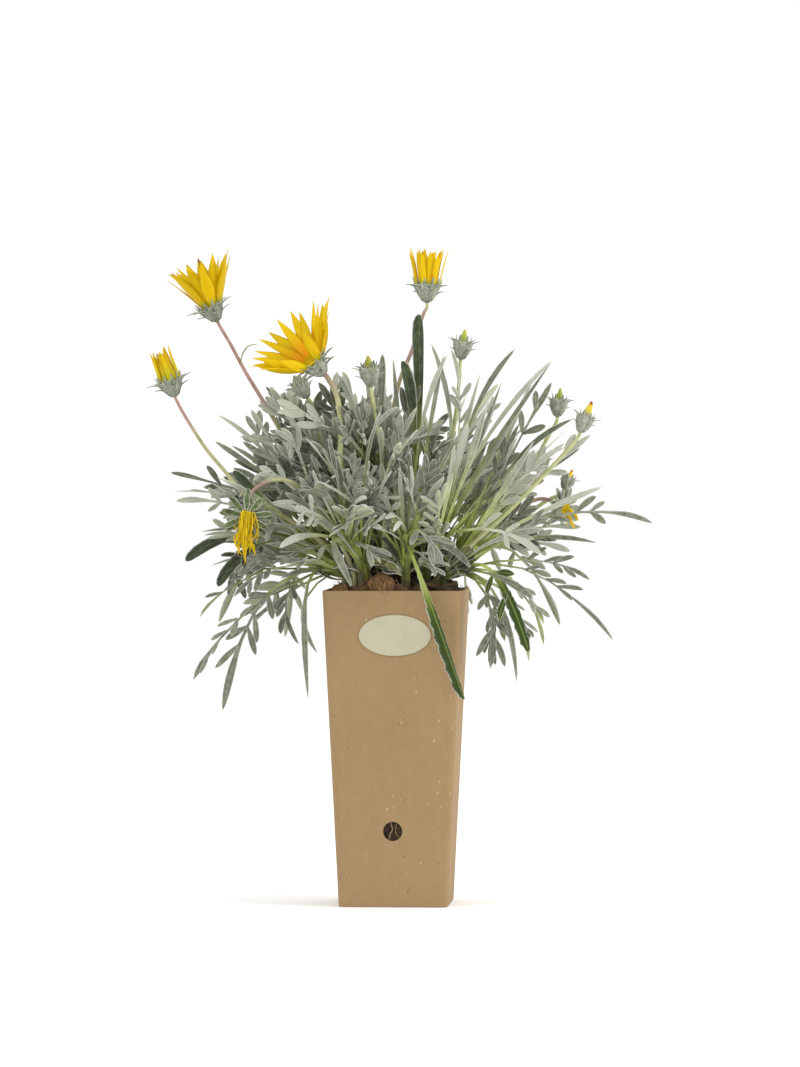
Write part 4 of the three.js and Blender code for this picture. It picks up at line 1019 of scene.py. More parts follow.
def add_lobe(pile, frames, leaf, lobe, channel, tone, luck, random):
    step = lobe["forward"] / leaf["length"]
    root, knee, tip = place_on(
        frames, np.array([lobe["at"] - 0.02, lobe["at"] + 0.3 * step, lobe["at"] + 1.15 * step]),
        lobe["hand"] * np.array([0.0, 0.55, 1.2]) * lobe["out"], np.array([0.0, 0.2, 1.0]) * lobe["lift"])
    line = bend(root, knee, tip, 6)
    side = side_for(frames[3][int(lobe["at"] * (len(frames[0]) - 1))], tip - root)
    reach = np.linalg.norm(tip - root)
    half = min((0.17 if reach < 8 else 0.11) * reach + 0.55, 2.0) * (0.85 + 0.3 * random())
    frames = frames_along(line, side, 0.8 * (random() - 0.5))
    add_blade(pile, frames, "lobe", half, 0.85 * LEAF_THICK, channel, tone, luck, base=lobe["at"],
              length=reach)


# How wide a fine blade is beside the CAD part's, whose flat blades stand for curled ones.
BLADE_SHARE = {
    "broad": 1.3, "strap": 1.0, "paddle": 1.0, "toothed": 1.1, "lobed": 0.88, "plain": 0.82, "reed": 0.86,
}
HANGING_SHADE = {"below": 200, "luck": 0.48}  # leaves whose tips hang below this height get less luck, which draws them darker and less silvery: painted shade of the low fringe
# Luck 0.93 gives old leaves the near-black foot colour, partly painted shade of the crowded base.
LUCK = {"toothed": 1.0, "old": 0.93, "most": 0.88}  # above "most" it marks the leaves of a special green
LEAF_THICK = 0.75


def add_leaf(pile, leaf, random):
    """A leaf and its side lobes: the CAD part's own, and some more between them."""
    points = leaf["points"]
    if leaf.get("nudge"):
        points = points + np.linspace(0, 1, len(points))[:, None] ** 1.5 * np.array(leaf["nudge"])
    frames = frames_along(smooth_run(points, 2), leaf["side"], leaf["roll"])
    # Painted shade: leaves hanging low are drawn darker and less silvery.
    hangs = leaf["points"][-1][2] < HANGING_SHADE["below"]
    luck = random() * (HANGING_SHADE["luck"] if hangs else 1.0)
    luck = min(luck, LUCK["most"])
    if leaf.get("fine") == "toothed":
        luck = LUCK["toothed"]
    elif leaf.get("old"):
        luck = LUCK["old"]
    tone = (leaf.get("dark", 0), leaf.get("pale", 0.6), leaf.get("green", 0.9))
    channel = 0.3 + 0.5 * random()
    shape = leaf.get("fine") or leaf["shape"]
    width = BLADE_SHARE.get(shape, 0.9) * leaf["width"]
    add_blade(pile, frames, shape, width, LEAF_THICK, channel, tone, luck, length=leaf["length"],
              ripple=0.14, teeth=shape == "toothed")
    lobes = [] if shape in ("strap", "broad") else list(leaf["lobes"])
    for at, chance in LOBES.get(shape, ()):
        for hand in (-1, 1):
            if random() > chance:
                continue
            reach = (7.5 + 5.5 * random()) * min(leaf["width"] / 2.0, 1.15)
            reach = reach * (SHORT if shape == "twig" else 1)
            lobes.append(dict(hand=hand, at=at + 0.03 * hand, forward=0.82 * reach,
                              out=(0.4 + 0.25 * random()) * reach, lift=(0.5 * random() - 0.02) * reach))
    lobe_tone = (tone[0], (0.55 if shape == "twig" else 1) * tone[1], tone[2])
    for lobe in lobes:
        add_lobe(pile, frames, leaf, lobe, channel, lobe_tone, luck, random)


def add_tube(pile, points, radii, tone, sides, bumps=0.0, seed=1, flutes=3):
    """A round, slightly uneven stem."""
    frames = frames_along(points, side_for(np.array([0.31, 0.95, 0.05]), points[1] - points[0]))
    share = np.linspace(0, 1, len(points))
    angle = np.arange(sides) / sides * 2 * math.pi
    wave = 1 + bumps * np.sin(flutes * angle[None] + (17 if flutes == 3 else 2) * share[:, None] + seed)
    radius = np.asarray(radii)[:, None] * wave
    rings = (points[:, None] + frames[2][:, None] * (radius * np.cos(angle))[..., None]
             + frames[3][:, None] * (radius * np.sin(angle))[..., None])
    loft(pile, rings, STEM_PAINT, tone)


# ---------------------------------------------------------------- more leaves than the CAD part has

# shoot: crown leaves, long leaves from low down, hanging leaves, side crowns, old leaves at its foot, whose
# near-black colour is partly painted shade
FILL = {
    "left_low": (3, 4, 0, 0, 5),
    "left_mid": (15, 7, 0, 2, 4),
    "left_upper": (10, 5, 0, 2, 2),
    "left_front": (14, 7, 0, 2, 4),
    "top_left": (11, 5, 0, 2, 1),
    "top": (19, 8, 0, 2, 2),
    "centre_front": (9, 8, 0, 1, 10),
    "centre": (11, 10, 0, 1, 8),
    "right_upper": (3, 9, 0, 0, 10),
    "right": (2, 9, 0, 0, 6),
    "right_low": (2, 4, 1, 0, 9),
    "back_left": (9, 5, 0, 1, 7),
    "back": (12, 5, 1, 1, 9),
    "back_right": (7, 5, 1, 1, 7),
    "back_top_left": (16, 6, 0, 2, 6),
    "back_top_right": (9, 8, 0, 1, 6),
}
UPRIGHT = {"left_upper": 0.75, "top_left": 0.65}  # how far the added crown leaves of these lean beside others
FILL_TRIES = 16
EXTRA_TRIES = {"with_room": 16, "in_all": 24}  # after so many tries a listed leaf makes do with less room
EXTRA_ROOM = {"first": 0.45, "less": 0.25}  # how much of the room round such a leaf has to be clear
FRONT = {"half": 46, "z": 184, "y": -30}  # the part of the pot's front that only the placed leaves cross
FOOT_ZONE = {"half": 50, "z": 207, "y": 10}  # over the soil, where only the leaves' stalks are seen
ROOM = {"left": -134, "right": 140, "front": -80, "back": 110}  # how far out the added leaves may reach
# Windows in front, from x to x and z to z, that show the pale stalks at the foot of a shoot.
BARE = [(-43, -30, 199, 226), (1, 12, 186, 232), (27, 41, 212, 252), (44, 58, 197, 230)]
BARE_FRONT = -14
SKIRT = {"z": 193, "beside": 44}  # below this height and beside the pot only hanging leaves reach
# By kind of added leaf: share of lobed ones, the shapes and least half-widths of lobed and other ones, how
# much wider they may be, how far the green of the stalk reaches, how strong it is, and how much of the room
# round a leaf has to be clear.
KINDS = {
    "crown": dict(lobed=0.62, shapes=("pinnate", "plain"), widths=(1.9, 1.7), more=0.8, pale=0.4, green=0.9,
                  room=0.5),
    "basal": dict(lobed=0.5, shapes=("stalked", "reed"), widths=(1.7, 1.3), more=0.6, pale=0.8, green=0.95,
                  room=0.5),
    "hang": dict(lobed=0.85, shapes=("twig", "reed"), widths=(2.0, 1.2), more=0.5, pale=0.8, green=0.75,
                 room=0.5),
    # Old leaves at the foot stand in the shaded base: dark sheets whose near-black colour is partly painted
    # shade.
    "foot": dict(lobed=0.0, shapes=("plain", "strap"), widths=(2.0, 2.0), more=1.2, pale=0.5, green=0.35,
                 room=0.3),
}

# Leaves listed one by one, by shoot: share of its stem, knee, tip, half-width, shape, and how dark if not
# silvery.
# Plain leaves darker than 0.8 lie low over the soil as old leaves, their near-black colour partly painted
# shade.
EXTRA = [
    ("right_upper", [
        (0.25, (34, -24, 236), (88, -30, 311), 1.9, "reed"),
        (0.3, (34, -30, 232), (60, -34, 300), 1.8, "reed"),
        (0.2, (28, -20, 240), (48, -24, 306), 2.0, "reed"),
        (0.1, (27, -6, 262), (36, -2, 314), 1.7, "reed"),
        (0.35, (34, -26, 226), (72, -34, 286), 1.8, "reed"),
    ]),
    ("right", [
        (0.2, (52, -12, 240), (80, -10, 306), 1.8, "reed"),
        (0.2, (56, -20, 236), (96, -24, 292), 1.7, "stalked"),
        (0.15, (60, 4, 232), (106, 8, 262), 1.7, "stalked"),
        (0.15, (62, -6, 226), (116, -8, 242), 1.5, "reed"),
        (0.3, (50, -26, 226), (90, -30, 262), 1.8, "stalked"),
        (0.4, (66, -30, 214), (98, -34, 217), 1.9, "reed"),
        (0.5, (80, -12, 228), (100, -16, 226), 2.6, "plain"),
    ]),
    ("right_low", [
        (0.6, (48, -42, 212), (82, -48, 216), 1.9, "strap"),
        (0.5, (64, -26, 206), (84, -30, 162), 2.1, "twig"),
        (0.5, (54, -20, 196), (62, -24, 152), 2.0, "twig"),
    ]),
    ("centre", [
        (0.2, (16, -16, 262), (27, -20, 316), 1.7, "reed"),
        (0.1, (3, -10, 262), (-2, -10, 314), 1.7, "reed"),
    ]),
    ("centre_front", [
        (0.0, (3, -32, 216), (-4, -36, 268), 2.1, "reed"), (0.0, (8, -32, 214), (8, -38, 262), 2.1, "reed"),
        (0.05, (11, -36, 216), (25, -42, 258), 2.0, "reed"),
        (0.05, (0, -36, 212), (-16, -46, 250), 1.9, "reed"),
        (0.8, (29, -52, 213), (42, -58, 195), 2.6, "plain"),
        (1.0, (9, -50, 231), (13, -55, 237), 2.3, "plain"),
        (1.0, (12, -50, 231), (19, -55, 231), 2.4, "plain"),
        (1.0, (0, -50, 229), (-6, -55, 222), 2.2, "plain"),
        (1.0, (2, -52, 225), (-2, -56, 215), 2.0, "plain"),
    ]),
    ("left_front", [
        (0.2, (-36, -42, 226), (-52, -50, 246), 2.2, "reed"),
        (0.2, (-32, -44, 222), (-44, -54, 242), 2.2, "reed"),
        (0.1, (-28, -40, 226), (-34, -50, 258), 2.1, "reed"),
        (0.5, (-28, -52, 222), (-7, -60, 241), 2.0, "strap"),
        (0.5, (-25, -52, 216), (-9, -58, 197), 2.2, "stalked"),
        (0.9, (-46, -58, 232), (-55, -62, 246), 2.4, "plain"),
        (0.9, (-50, -60, 230), (-63, -64, 237), 2.3, "plain"),
        (0.9, (-42, -60, 236), (-47, -64, 250), 2.4, "plain"),
    ]),
    ("left_mid", [
        (0.6, (-76, -34, 230), (-93, -40, 249), 3.4, "paddle", 1),
    ]),
    ("left_low", [
        (0.3, (-70, -50, 206), (-92, -56, 178), 1.8, "stalked"),
        (0.3, (-80, -30, 208), (-112, -34, 166), 2.2, "twig"),
    ]),
    ("left_front", [
        (0.1, (-28, -46, 222), (-38, -56, 240), 2.2, "reed"),
        (0.05, (-34, -46, 218), (-60, -58, 230), 2.1, "reed"),
        (0.05, (-26, -44, 220), (-27, -54, 250), 2.0, "reed"),
        (0.15, (-30, -44, 214), (-45, -56, 222), 2.1, "strap"),
    ]),
    ("left_low", [
        (0.15, (-44, -38, 206), (-74, -48, 208), 2.4, "reed"),
        (0.1, (-40, -40, 200), (-70, -52, 198), 2.3, "reed"),
        (0.15, (-46, -32, 206), (-80, -36, 214), 2.2, "reed"),
        (0.05, (-42, -30, 198), (-66, -38, 188), 2.0, "reed"),
    ]),
    ("centre_front", [
        (0.0, (7, -36, 220), (14, -44, 254), 2.0, "reed"), (0.0, (4, -36, 220), (2, -44, 252), 2.0, "reed"),
        (0.05, (6, -34, 226), (-2, -40, 280), 1.9, "stalked"),
    ]),
    ("right_upper", [
        (0.1, (29, -16, 232), (54, -22, 290), 2.0, "stalked"),
        (0.1, (31, -22, 228), (40, -28, 276), 2.0, "reed"),
    ]),
    ("left_low", [
        (0.0, (-36, -24, 184), (-48, -30, 194), 1.9, "plain", 0.9),
    ]),
    ("top", [
        (0.0, (-9, -16, 188), (-14, -22, 201), 2.6, "plain", 0.9),
        (0.05, (-4, -16, 190), (2, -22, 200), 2.6, "plain", 0.9),
    ]),
    ("centre", [
        (0.0, (4, -6, 190), (-4, -12, 204), 2.6, "plain", 0.9),
    ]),
    ("left_low", [
        (0.02, (-34, -16, 190), (-47, -18, 201), 1.9, "plain", 0.9),
    ]),
    ("left_mid", [
        (0.0, (-36, -6, 190), (-48, -6, 206), 1.9, "plain", 0.9),
        (0.0, (-34, 8, 186), (-46, 12, 194), 2.2, "plain", 0.9),
    ]),
    ("right", [
        (0.1, (74, -20, 206), (84, -26, 150), 1.6, "twig"),
    ]),
    ("right_low", [
        (0.2, (70, -4, 200), (76, -8, 140), 1.5, "twig"),
        (0.55, (60, -10, 204), (54, -18, 136), 2.2, "twig"),
    ]),
    ("right_upper", [
        (0.08, (35, -30, 236), (51, -38, 286), 2.5, "reed"),
        (0.05, (29, -32, 226), (33, -40, 268), 2.1, "reed"),
    ]),
    ("right", [
        (0.08, (52, -32, 226), (78, -40, 266), 2.2, "reed"),
    ]),
    ("right_low", [
        (0.0, (34, -22, 186), (46, -28, 195), 1.9, "plain", 0.9),
        (0.02, (34, -12, 190), (47, -14, 200), 1.9, "plain", 0.9),
    ]),
    ("right", [
        (0.0, (36, 0, 188), (47, 2, 204), 2.0, "plain", 0.9),
        (0.0, (34, 10, 186), (45, 14, 194), 2.2, "plain", 0.9),
        (0.1, (46, -14, 224), (70, -18, 276), 2.0, "stalked"),
        (0.1, (48, -20, 222), (84, -26, 250), 1.9, "reed"),
        (0.15, (50, -24, 216), (96, -30, 238), 1.8, "reed"),
    ]),
]


def clear_of_heads(centres, radii):
    """True where a leaf neither touches a flower head nor hangs in front of one."""
    for head in HEADS.values():
        axis = unit(np.array(head["axis"], float))
        size = 9 * head["bud"] if "bud" in head else 8 + 0.5 * head["ray"]
        middle = np.array(head["base"], float) + axis * size * 0.8
        gap = centres - middle
        if (np.linalg.norm(gap, axis=1) < size + radii).any():
            return False
        hides = (centres[:, 1] < middle[1]) & (np.hypot(gap[:, 0], gap[:, 2]) < 0.85 * size + radii)
        if hides.any():
            return False
    return True


def in_room(centres, outer, kind):
    """True where an added leaf stays inside its room, off the pot's front and its blade off the soil."""
    x, y, z = centres.T
    beside = np.maximum(np.abs(x), np.abs(y)) > SKIRT["beside"]
    if kind != "hang" and ((z < SKIRT["z"]) & beside).any():
        return False
    for x0, x1, z0, z1 in BARE:
        if ((x > x0) & (x < x1) & (z > z0) & (z < z1) & (y < BARE_FRONT)).any():
            return False
    if kind == "foot":
        return not beside.any() and not (z < SOIL["top"] + 4).any()
    if ((x < ROOM["left"]) | (x > ROOM["right"]) | (y < ROOM["front"]) | (y > ROOM["back"])).any():
        return False
    if ((np.abs(x) < FRONT["half"]) & (z < FRONT["z"]) & (y < FRONT["y"])).any():
        return False
    low = (np.abs(x) < FOOT_ZONE["half"]) & (z < FOOT_ZONE["z"]) & (y < FOOT_ZONE["y"])
    return not (low & outer).any()


def fits(centres, radii, room):
    """A looser test than the CAD part's: fine leaves may touch, but don't lie in one another."""
    if not clear_of_pot(centres, radii) or not clear_of_heads(centres, radii):
        return False
    return not any((gap < room * least).any() for _, gap, least, _ in near(centres, radii))


def add_more(shoot, leaf, room, kind=None):
    """Keeps one more leaf where there is room for it; returns whether there was."""
    centres, radii, outer = spheres_of(leaf)
    centres, radii, outer = centres[2:], 0.65 * radii[2:], outer[2:]
    if kind and not in_room(centres, outer, kind):
        return False
    if not fits(centres, radii, room):
        return False
    keep(shoot["name"] + "_more", centres, radii, outer)
    shoot["more"].append(leaf)
    return True


def set_extra(shoot, random, share, knee, tip, width, shape, dark=0):
    """One of the listed leaves, moved forward or back until there is room for it."""
    root = on_stem(shoot, share)
    knee, tip = np.array(knee, float), np.array(tip, float)
    for attempt in range(EXTRA_TRIES["in_all"]):
        shift = (random() - 0.5) * attempt
        points = bend(root, knee + [0, 0.7 * shift, 0], tip + [0, shift, 0])
        length = np.linalg.norm(np.diff(points, axis=0), axis=1).sum()
        pale = 0.3 if shape in ("plain", "strap") else 1.3 if shape == "twig" else 0.8
        # Old leaves get the near-black foot colour, partly painted shade of the crowded base.
        leaf = dict(points=points, length=length, side=side_facing_out(points, random),
                    roll=(random() - 0.5) * 0.9, width=width, shape=shape, dark=dark, lobes=[], pale=pale,
                    green=0.98, old=shape == "plain" and dark > 0.8)
        if add_more(shoot, leaf, EXTRA_ROOM["first" if attempt < EXTRA_TRIES["with_room"] else "less"]):
            return


def fill_leaf(shoot, stem_points, share, lean, length, droop, turn, random, kind):
    """One more leaf from a stem, outward at turn 0; returns whether there was room for it."""
    root, i = on_line(stem_points, share)
    axis = unit(lerp(unit(stem_points[i + 1] - stem_points[i]), UP, 0.35))
    e1 = unit(np.array([*shoot["crown"][:2], 0.0]))
    e2 = unit(np.cross(axis, e1))
    radial = toward(e1, e2, turn)
    heading = toward(axis, radial, lean)
    sway = 1.1 * (random() - 0.5) * np.cross(UP, radial)
    points = sweep(root, heading, length, (0.25 * radial[0] + sway[0], 0.25 * radial[1] + sway[1], -droop))
    middle = points[STEPS // 2]
    away = np.array([middle[0], middle[1] - 8, 0.0])
    face = 0.7 * away / (np.linalg.norm(away) + 1) + np.array([0, -0.3, 0.45])
    face = face + np.array([random() - 0.5, random() - 0.5, random() - 0.5]) * 1.1
    made = KINDS[kind]
    form = 0 if random() < made["lobed"] else 1
    # Leaves at the foot are old ones, drawn near-black partly as painted shade of the crowded base.
    old = 0.9 if kind == "foot" else 0.75 if random() < 0.05 else 0
    leaf = dict(points=points, length=length, side=side_for(face, points[STEPS] - middle),
                roll=(random() - 0.5) * 1.2, width=made["widths"][form] + made["more"] * random(),
                shape=made["shapes"][form], dark=old, lobes=[], pale=made["pale"], green=made["green"],
                old=kind == "foot")
    return add_more(shoot, leaf, made["room"], kind)


def fill_shoot(shoot, seed):
    """Leaves round the crown and its side crowns, long ones from low down, hanging ones and old ones."""
    crown, basal, hang, spurs, old = FILL[shoot["name"]]
    random = make_random(seed)
    stem = shoot["stem"][1:]
    lines = [(stem, crown)]
    for k in range(spurs):
        start = on_stem(shoot, 0.45 + 0.25 * k)
        turn = shoot["foot"][0] + 2.6 * k + random()
        out = np.array([math.cos(turn), math.sin(turn), 0.0])
        out[:2] += 0.6 * unit(np.array(shoot["crown"][:2], float))
        line = sweep(start, unit(out * 0.8 + UP), 24 + 10 * random(), (0, 0, 0.5), 5)
        shoot["spurs"].append(line)
        lines.append((line, 8))
    for line, count in lines:
        for i in range(count):
            rank = (i + 0.5) / count
            for attempt in range(FILL_TRIES):
                lean = lerp(1.25, 0.12, rank) * shoot["open"] ** 0.5 + (random() - 0.5) * 0.5
                lean = lean * UPRIGHT.get(shoot["name"], 1.0)
                length = lerp(54, 34, rank) * (0.7 + 0.65 * random())
                turn = i * GOLDEN + 5 * random() * (attempt > 2) + random() * 0.6
                droop = 0.9 * random()
                if fill_leaf(shoot, line, lerp(0.55, 1.0, rank), lean, length, droop, turn, random, "crown"):
                    break
    for i in range(basal):
        for attempt in range(FILL_TRIES):
            lean = 0.1 + 0.7 * random()
            if fill_leaf(shoot, stem, 0.05 + 0.3 * random(), lean, 62 + 50 * random(), 0.1 + 0.8 * random(),
                         (random() - 0.5) * (2.4 + 0.2 * attempt), random, "basal"):
                break
    for i in range(hang):
        for attempt in range(FILL_TRIES):
            if fill_leaf(shoot, stem, 0.4 + 0.5 * random(), 1.0 + 0.5 * random(), 62 + 34 * random(),
                         1.9 + 0.7 * random(), (random() - 0.5) * 2.4, random, "hang"):
                break
    for i in range(old):
        for attempt in range(FILL_TRIES):
            if fill_leaf(shoot, stem, 0.1 * random(), 0.2 + 0.9 * random(), 16 + 18 * random(),
                         0.8 * random(), 6.3 * random(), random, "foot"):
                break


FLUTES = 5  # how many leaf stalks the foot of a shoot looks bundled from
STEM_SIDES = {"stem": 25, "spur": 8, "stalk": 12, "curl": 6, "root": 8, "fibre": 5}


def stem_tone(count, sides):
    """The painted tone of a leafy stem: green leaf stalks bundled together over the near-black foot colour,
    which shows low down and between them and is partly painted shade.
    """
    share = np.linspace(0, 1, count)[:, None]
    angle = np.arange(sides) / sides * 2 * math.pi
    flute = 0.5 + 0.5 * np.sin(FLUTES * angle[None] + 2 * share)
    return painted(0.98 - 0.15 * share, (0.05 + 0.75 * share) * (0.35 + 0.65 * flute), share * 0.8, 1)


def make_shoots(shoots):
    material = leaf_material()
    for shoot in shoots.values():
        shoot["more"] = []
        shoot["spurs"] = []
    random = make_random(77)
    for name, rows in EXTRA:
        for row in rows:
            set_extra(shoots[name], random, *row)
    for k, shoot in enumerate(shoots.values()):
        fill_shoot(shoot, 300 + 17 * k)
        random = make_random(900 + k)
        pile = Pile()
        line = np.vstack([shoot["stem"][:1], smooth_run(shoot["stem"][1:], 4)])
        radii = lerp(STEM["foot"], STEM["crown"], np.linspace(0, 1, len(line)))
        sides = STEM_SIDES["stem"]
        add_tube(pile, line, radii, stem_tone(len(line), sides), sides, 0.2, 0, FLUTES)
        for spur in shoot["spurs"]:
            run = smooth_run(spur, 2)
            radii = lerp(1.7, 1.2, np.linspace(0, 1, len(run)))
            sides = STEM_SIDES["spur"]
            add_tube(pile, run, radii, stem_tone(len(run), sides), sides, 0.08, k)
        for leaf in shoot["blades"] + shoot["more"]:
            add_leaf(pile, leaf, random)
        make_piece("foliage_" + shoot["name"], pile, material, ["shoot_" + shoot["name"]])


# ---------------------------------------------------------------- flower heads

# The colours along each stalk: share from the soil, how pink and how olive it is.
STALK_TONES = {
    "bloom_upper_left": [(0, 0, 0.5), (0.35, 0.1, 0.6), (0.55, 0.8, 0.3), (0.8, 1, 0), (1, 0.7, 0)],
    "bloom_open": [(0, 0, 0), (0.5, 0, 0), (0.75, 0.35, 0), (0.95, 0.85, 0), (1, 0.6, 0)],
    "bloom_top": [(0, 0, 0.4), (0.4, 0.3, 0.3), (0.65, 0.9, 0), (0.8, 0.5, 0.3), (1, 0, 0.2)],
    "bloom_left": [(0, 0, 0.6), (0.5, 0, 1), (0.68, 0.25, 0.9), (0.78, 0.85, 0.2), (0.93, 0.8, 0), (1, 0, 0)],
    "bloom_wilted": [(0, 0, 0.5), (0.5, 0, 0.5), (0.56, 0.15, 0.3), (0.66, 0.75, 0), (0.74, 1, 0), (1, 1, 0)],
    "bloom_faded": [(0, 0, 0), (0.5, 0.2, 0), (0.8, 0.8, 0), (1, 0.4, 0)],
}
# How thick the foot and the top of a stalk are beside the CAD part's.
GIRTHS = {"bloom_upper_left": (1.0, 0.8), "bloom_open": (1.25, 1.3), "bloom_top": (1.0, 0.85),
          "bloom_left": (0.95, 0.75), "bloom_wilted": (0.9, 0.85)}
PETAL_THICK = 0.45
# A dried curl of leaf on the stalk of the upper left bloom.
TENDRIL = [(-89.6, 3, 310.5), (-89, 1, 315), (-86.6, -4, 319.4), (-83.5, -8, 321.3), (-80, -10, 321.6)]
BUD_TONES = [(0, 0, 0.1), (0.6, 0.1, 0.1), (1, 0.1, 0)]
GREEN_CUPS = {"bloom_wilted": 1.0, "bloom_open": 0.55}
BROWN_TIPS = {"bloom_upper_left": 0.12, "bloom_top": 0.15, "bloom_left": 0.35}  # the share of petals with one
# How far a bud's tip has turned orange.
BUD_TIPS = {
    "bud_front": 0.12, "bud_upper_right": 0.1, "bud_right": 0.0, "bud_far_right": 0.55,
    "bud_low_right": 1.0, "bud_left": 0.0,
}


def add_stalk(pile, name, head):
    run = head["run"].copy()
    run[-1] += (SEAT + 0.5) * unit(np.array(head["axis"], float))  # its top sits in the foot of the cup
    line = np.vstack([run[:1], smooth_run(run[1:], 6)])
    low, high = GIRTHS.get(name, (1.0, 0.9))
    radii = lerp(low * STALK["foot"], high * STALK["top"], np.linspace(0, 1, len(line)))
    stops = np.array(STALK_TONES.get(name, BUD_TONES))
    share = np.linspace(0, 1, len(line))
    pink, olive = (np.interp(share, stops[:, 0], stops[:, k])[:, None] for k in (1, 2))
    add_tube(pile, line, radii, painted(pink, olive, 0, 0), STEM_SIDES["stalk"], 0.05, len(name))
    if name == "bloom_upper_left":
        curl = smooth_run(TENDRIL, 4)
        thin = np.interp(np.linspace(0, 1, len(curl)), [0, 0.6, 1], [0.4, 0.5, 0.2])
        add_tube(pile, curl, thin, (0, 1, 0, 0), STEM_SIDES["curl"])


def whorl(base, axis, count, radius, height, length, spread, pull, start, sag, step=0.0, fold=0.0, lift=0.0):
    """The same blades round an axis as in the CAD part: centre lines, sides and which way each points out.

    Fold closes every other blade by so many degrees, and lift those in front. Step sets every other blade
    further in."""
    e1, e2 = axes_round(axis)
    random = make_random(int(math.floor(1000 * length + 10 * count + start + 0.5)))
    blades = []
    for i in range(count):
        a = (i + start) / count * 2 * math.pi + (random() - 0.5) * 0.05
        radial = toward(e1, e2, a)
        inner = i % 2
        in_front = max(0.0, -radial[1]) ** 2
        lean = math.radians(spread * (0.95 + 0.1 * random()) - fold * inner - lift * in_front)
        heading = toward(axis, radial, lean)
        root = base + axis * height + radial * (radius - step * inner)
        drag = radial * pull - UP * sag * (0.7 + 0.6 * random())
        reach = length * (0.9 + 0.16 * random())
        blades.append((sweep(root, heading, reach, drag, 6), np.cross(axis, radial), radial))
    return blades


def add_turned(pile, base, axis, profile, sides, ribs, depth, tone, luck):
    """A solid of revolution with ribs: profile is height, radius pairs."""
    e1, e2 = axes_round(axis)
    profile = np.array(profile, float)
    share = profile[:, :1] / profile[:, 0].max()
    angle = np.arange(sides) / sides * 2 * math.pi
    crest = np.abs(np.cos(ribs * angle / 2))
    radius = profile[:, 1:2] * (1 + depth * (crest - 0.6)[None] * np.interp(share, [0, 0.12, 1], [0, 1, 1]))
    rings = (base + axis * profile[:, :1, None] + e1 * (radius * np.cos(angle))[..., None]
             + e2 * (radius * np.sin(angle))[..., None])
    loft(pile, rings, painted(share, crest[None], 1, luck), tone)


def add_whorl(pile, blades, shape, width, thickness, channel, tone, random, roll=0.0, length=10.0):
    """Blades down the lines of a whorl; tone is the painted numbers or a way to draw them for each blade."""
    for points, side, _ in blades:
        frames = frames_along(smooth_run(points, 3), side, roll * (random() - 0.5))
        own = tone(random) if callable(tone) else tone
        add_blade(pile, frames, shape, width * (0.9 + 0.2 * random()), thickness, channel, own, random(),
                  length=length, ripple=0.05)


def cup_height(head):
    return CUP["height"] * head["cup"] / CUP["radius"]


def add_scales(pile, base, axis, profile, count, start, low, high, width, flare, tone, random, darker=0.0):
    """Flat bracts that lie on a cup from one height to another and turn out at their tips."""
    profile = np.array(profile, float)
    e1, e2 = axes_round(axis)
    for i in range(count):
        a = (i + start) / count * 2 * math.pi + (random() - 0.5) * 0.1
        radial = toward(e1, e2, a)
        top = high * (0.92 + 0.16 * random())
        z = np.linspace(low, top, 9)
        r = np.interp(z, profile[:, 0], profile[:, 1]) + 0.3 + flare * np.linspace(0, 1, 9) ** 3
        points = base + axis * z[:, None] + radial * r[:, None]
        frames = frames_along(points, np.cross(axis, radial))
        add_blade(pile, frames, "scale", width, 0.5, 0.25, tone, random() - darker)


def cup_side(r, h):
    """The outside of a cup: heights and radii from its foot to its rim."""
    return [(0, 0.2 * r), (0.05 * h, 0.28 * r), (0.14 * h, 0.4 * r), (0.3 * h, 0.56 * r), (0.5 * h, 0.72 * r),
            (0.72 * h, 0.87 * r), (0.88 * h, 0.95 * r), (h, r)]


def hooks(base, axis, count, radius, height, length, lean, hook, start):
    """Bract tips that leave a cup at a lean and hook outward and down."""
    return whorl(base, axis, count, radius, height, length, lean, hook, start, sag=0.35)


HOOK_GREEN = 0.4  # how green the hooked bracts are on a silvery cup
HOOK_REACH = {"bloom_top": 0.72}  # how long the hooked bracts of a cup are beside other cups'
DARK_CUPS = {"bloom_upper_left": 0.7, "bloom_left": 0.5}  # how much darker than the others some cups are
STAR_TURN = np.array([0, -0.9, 0.45])  # how the open bracts of a wilted bloom turn to face outward


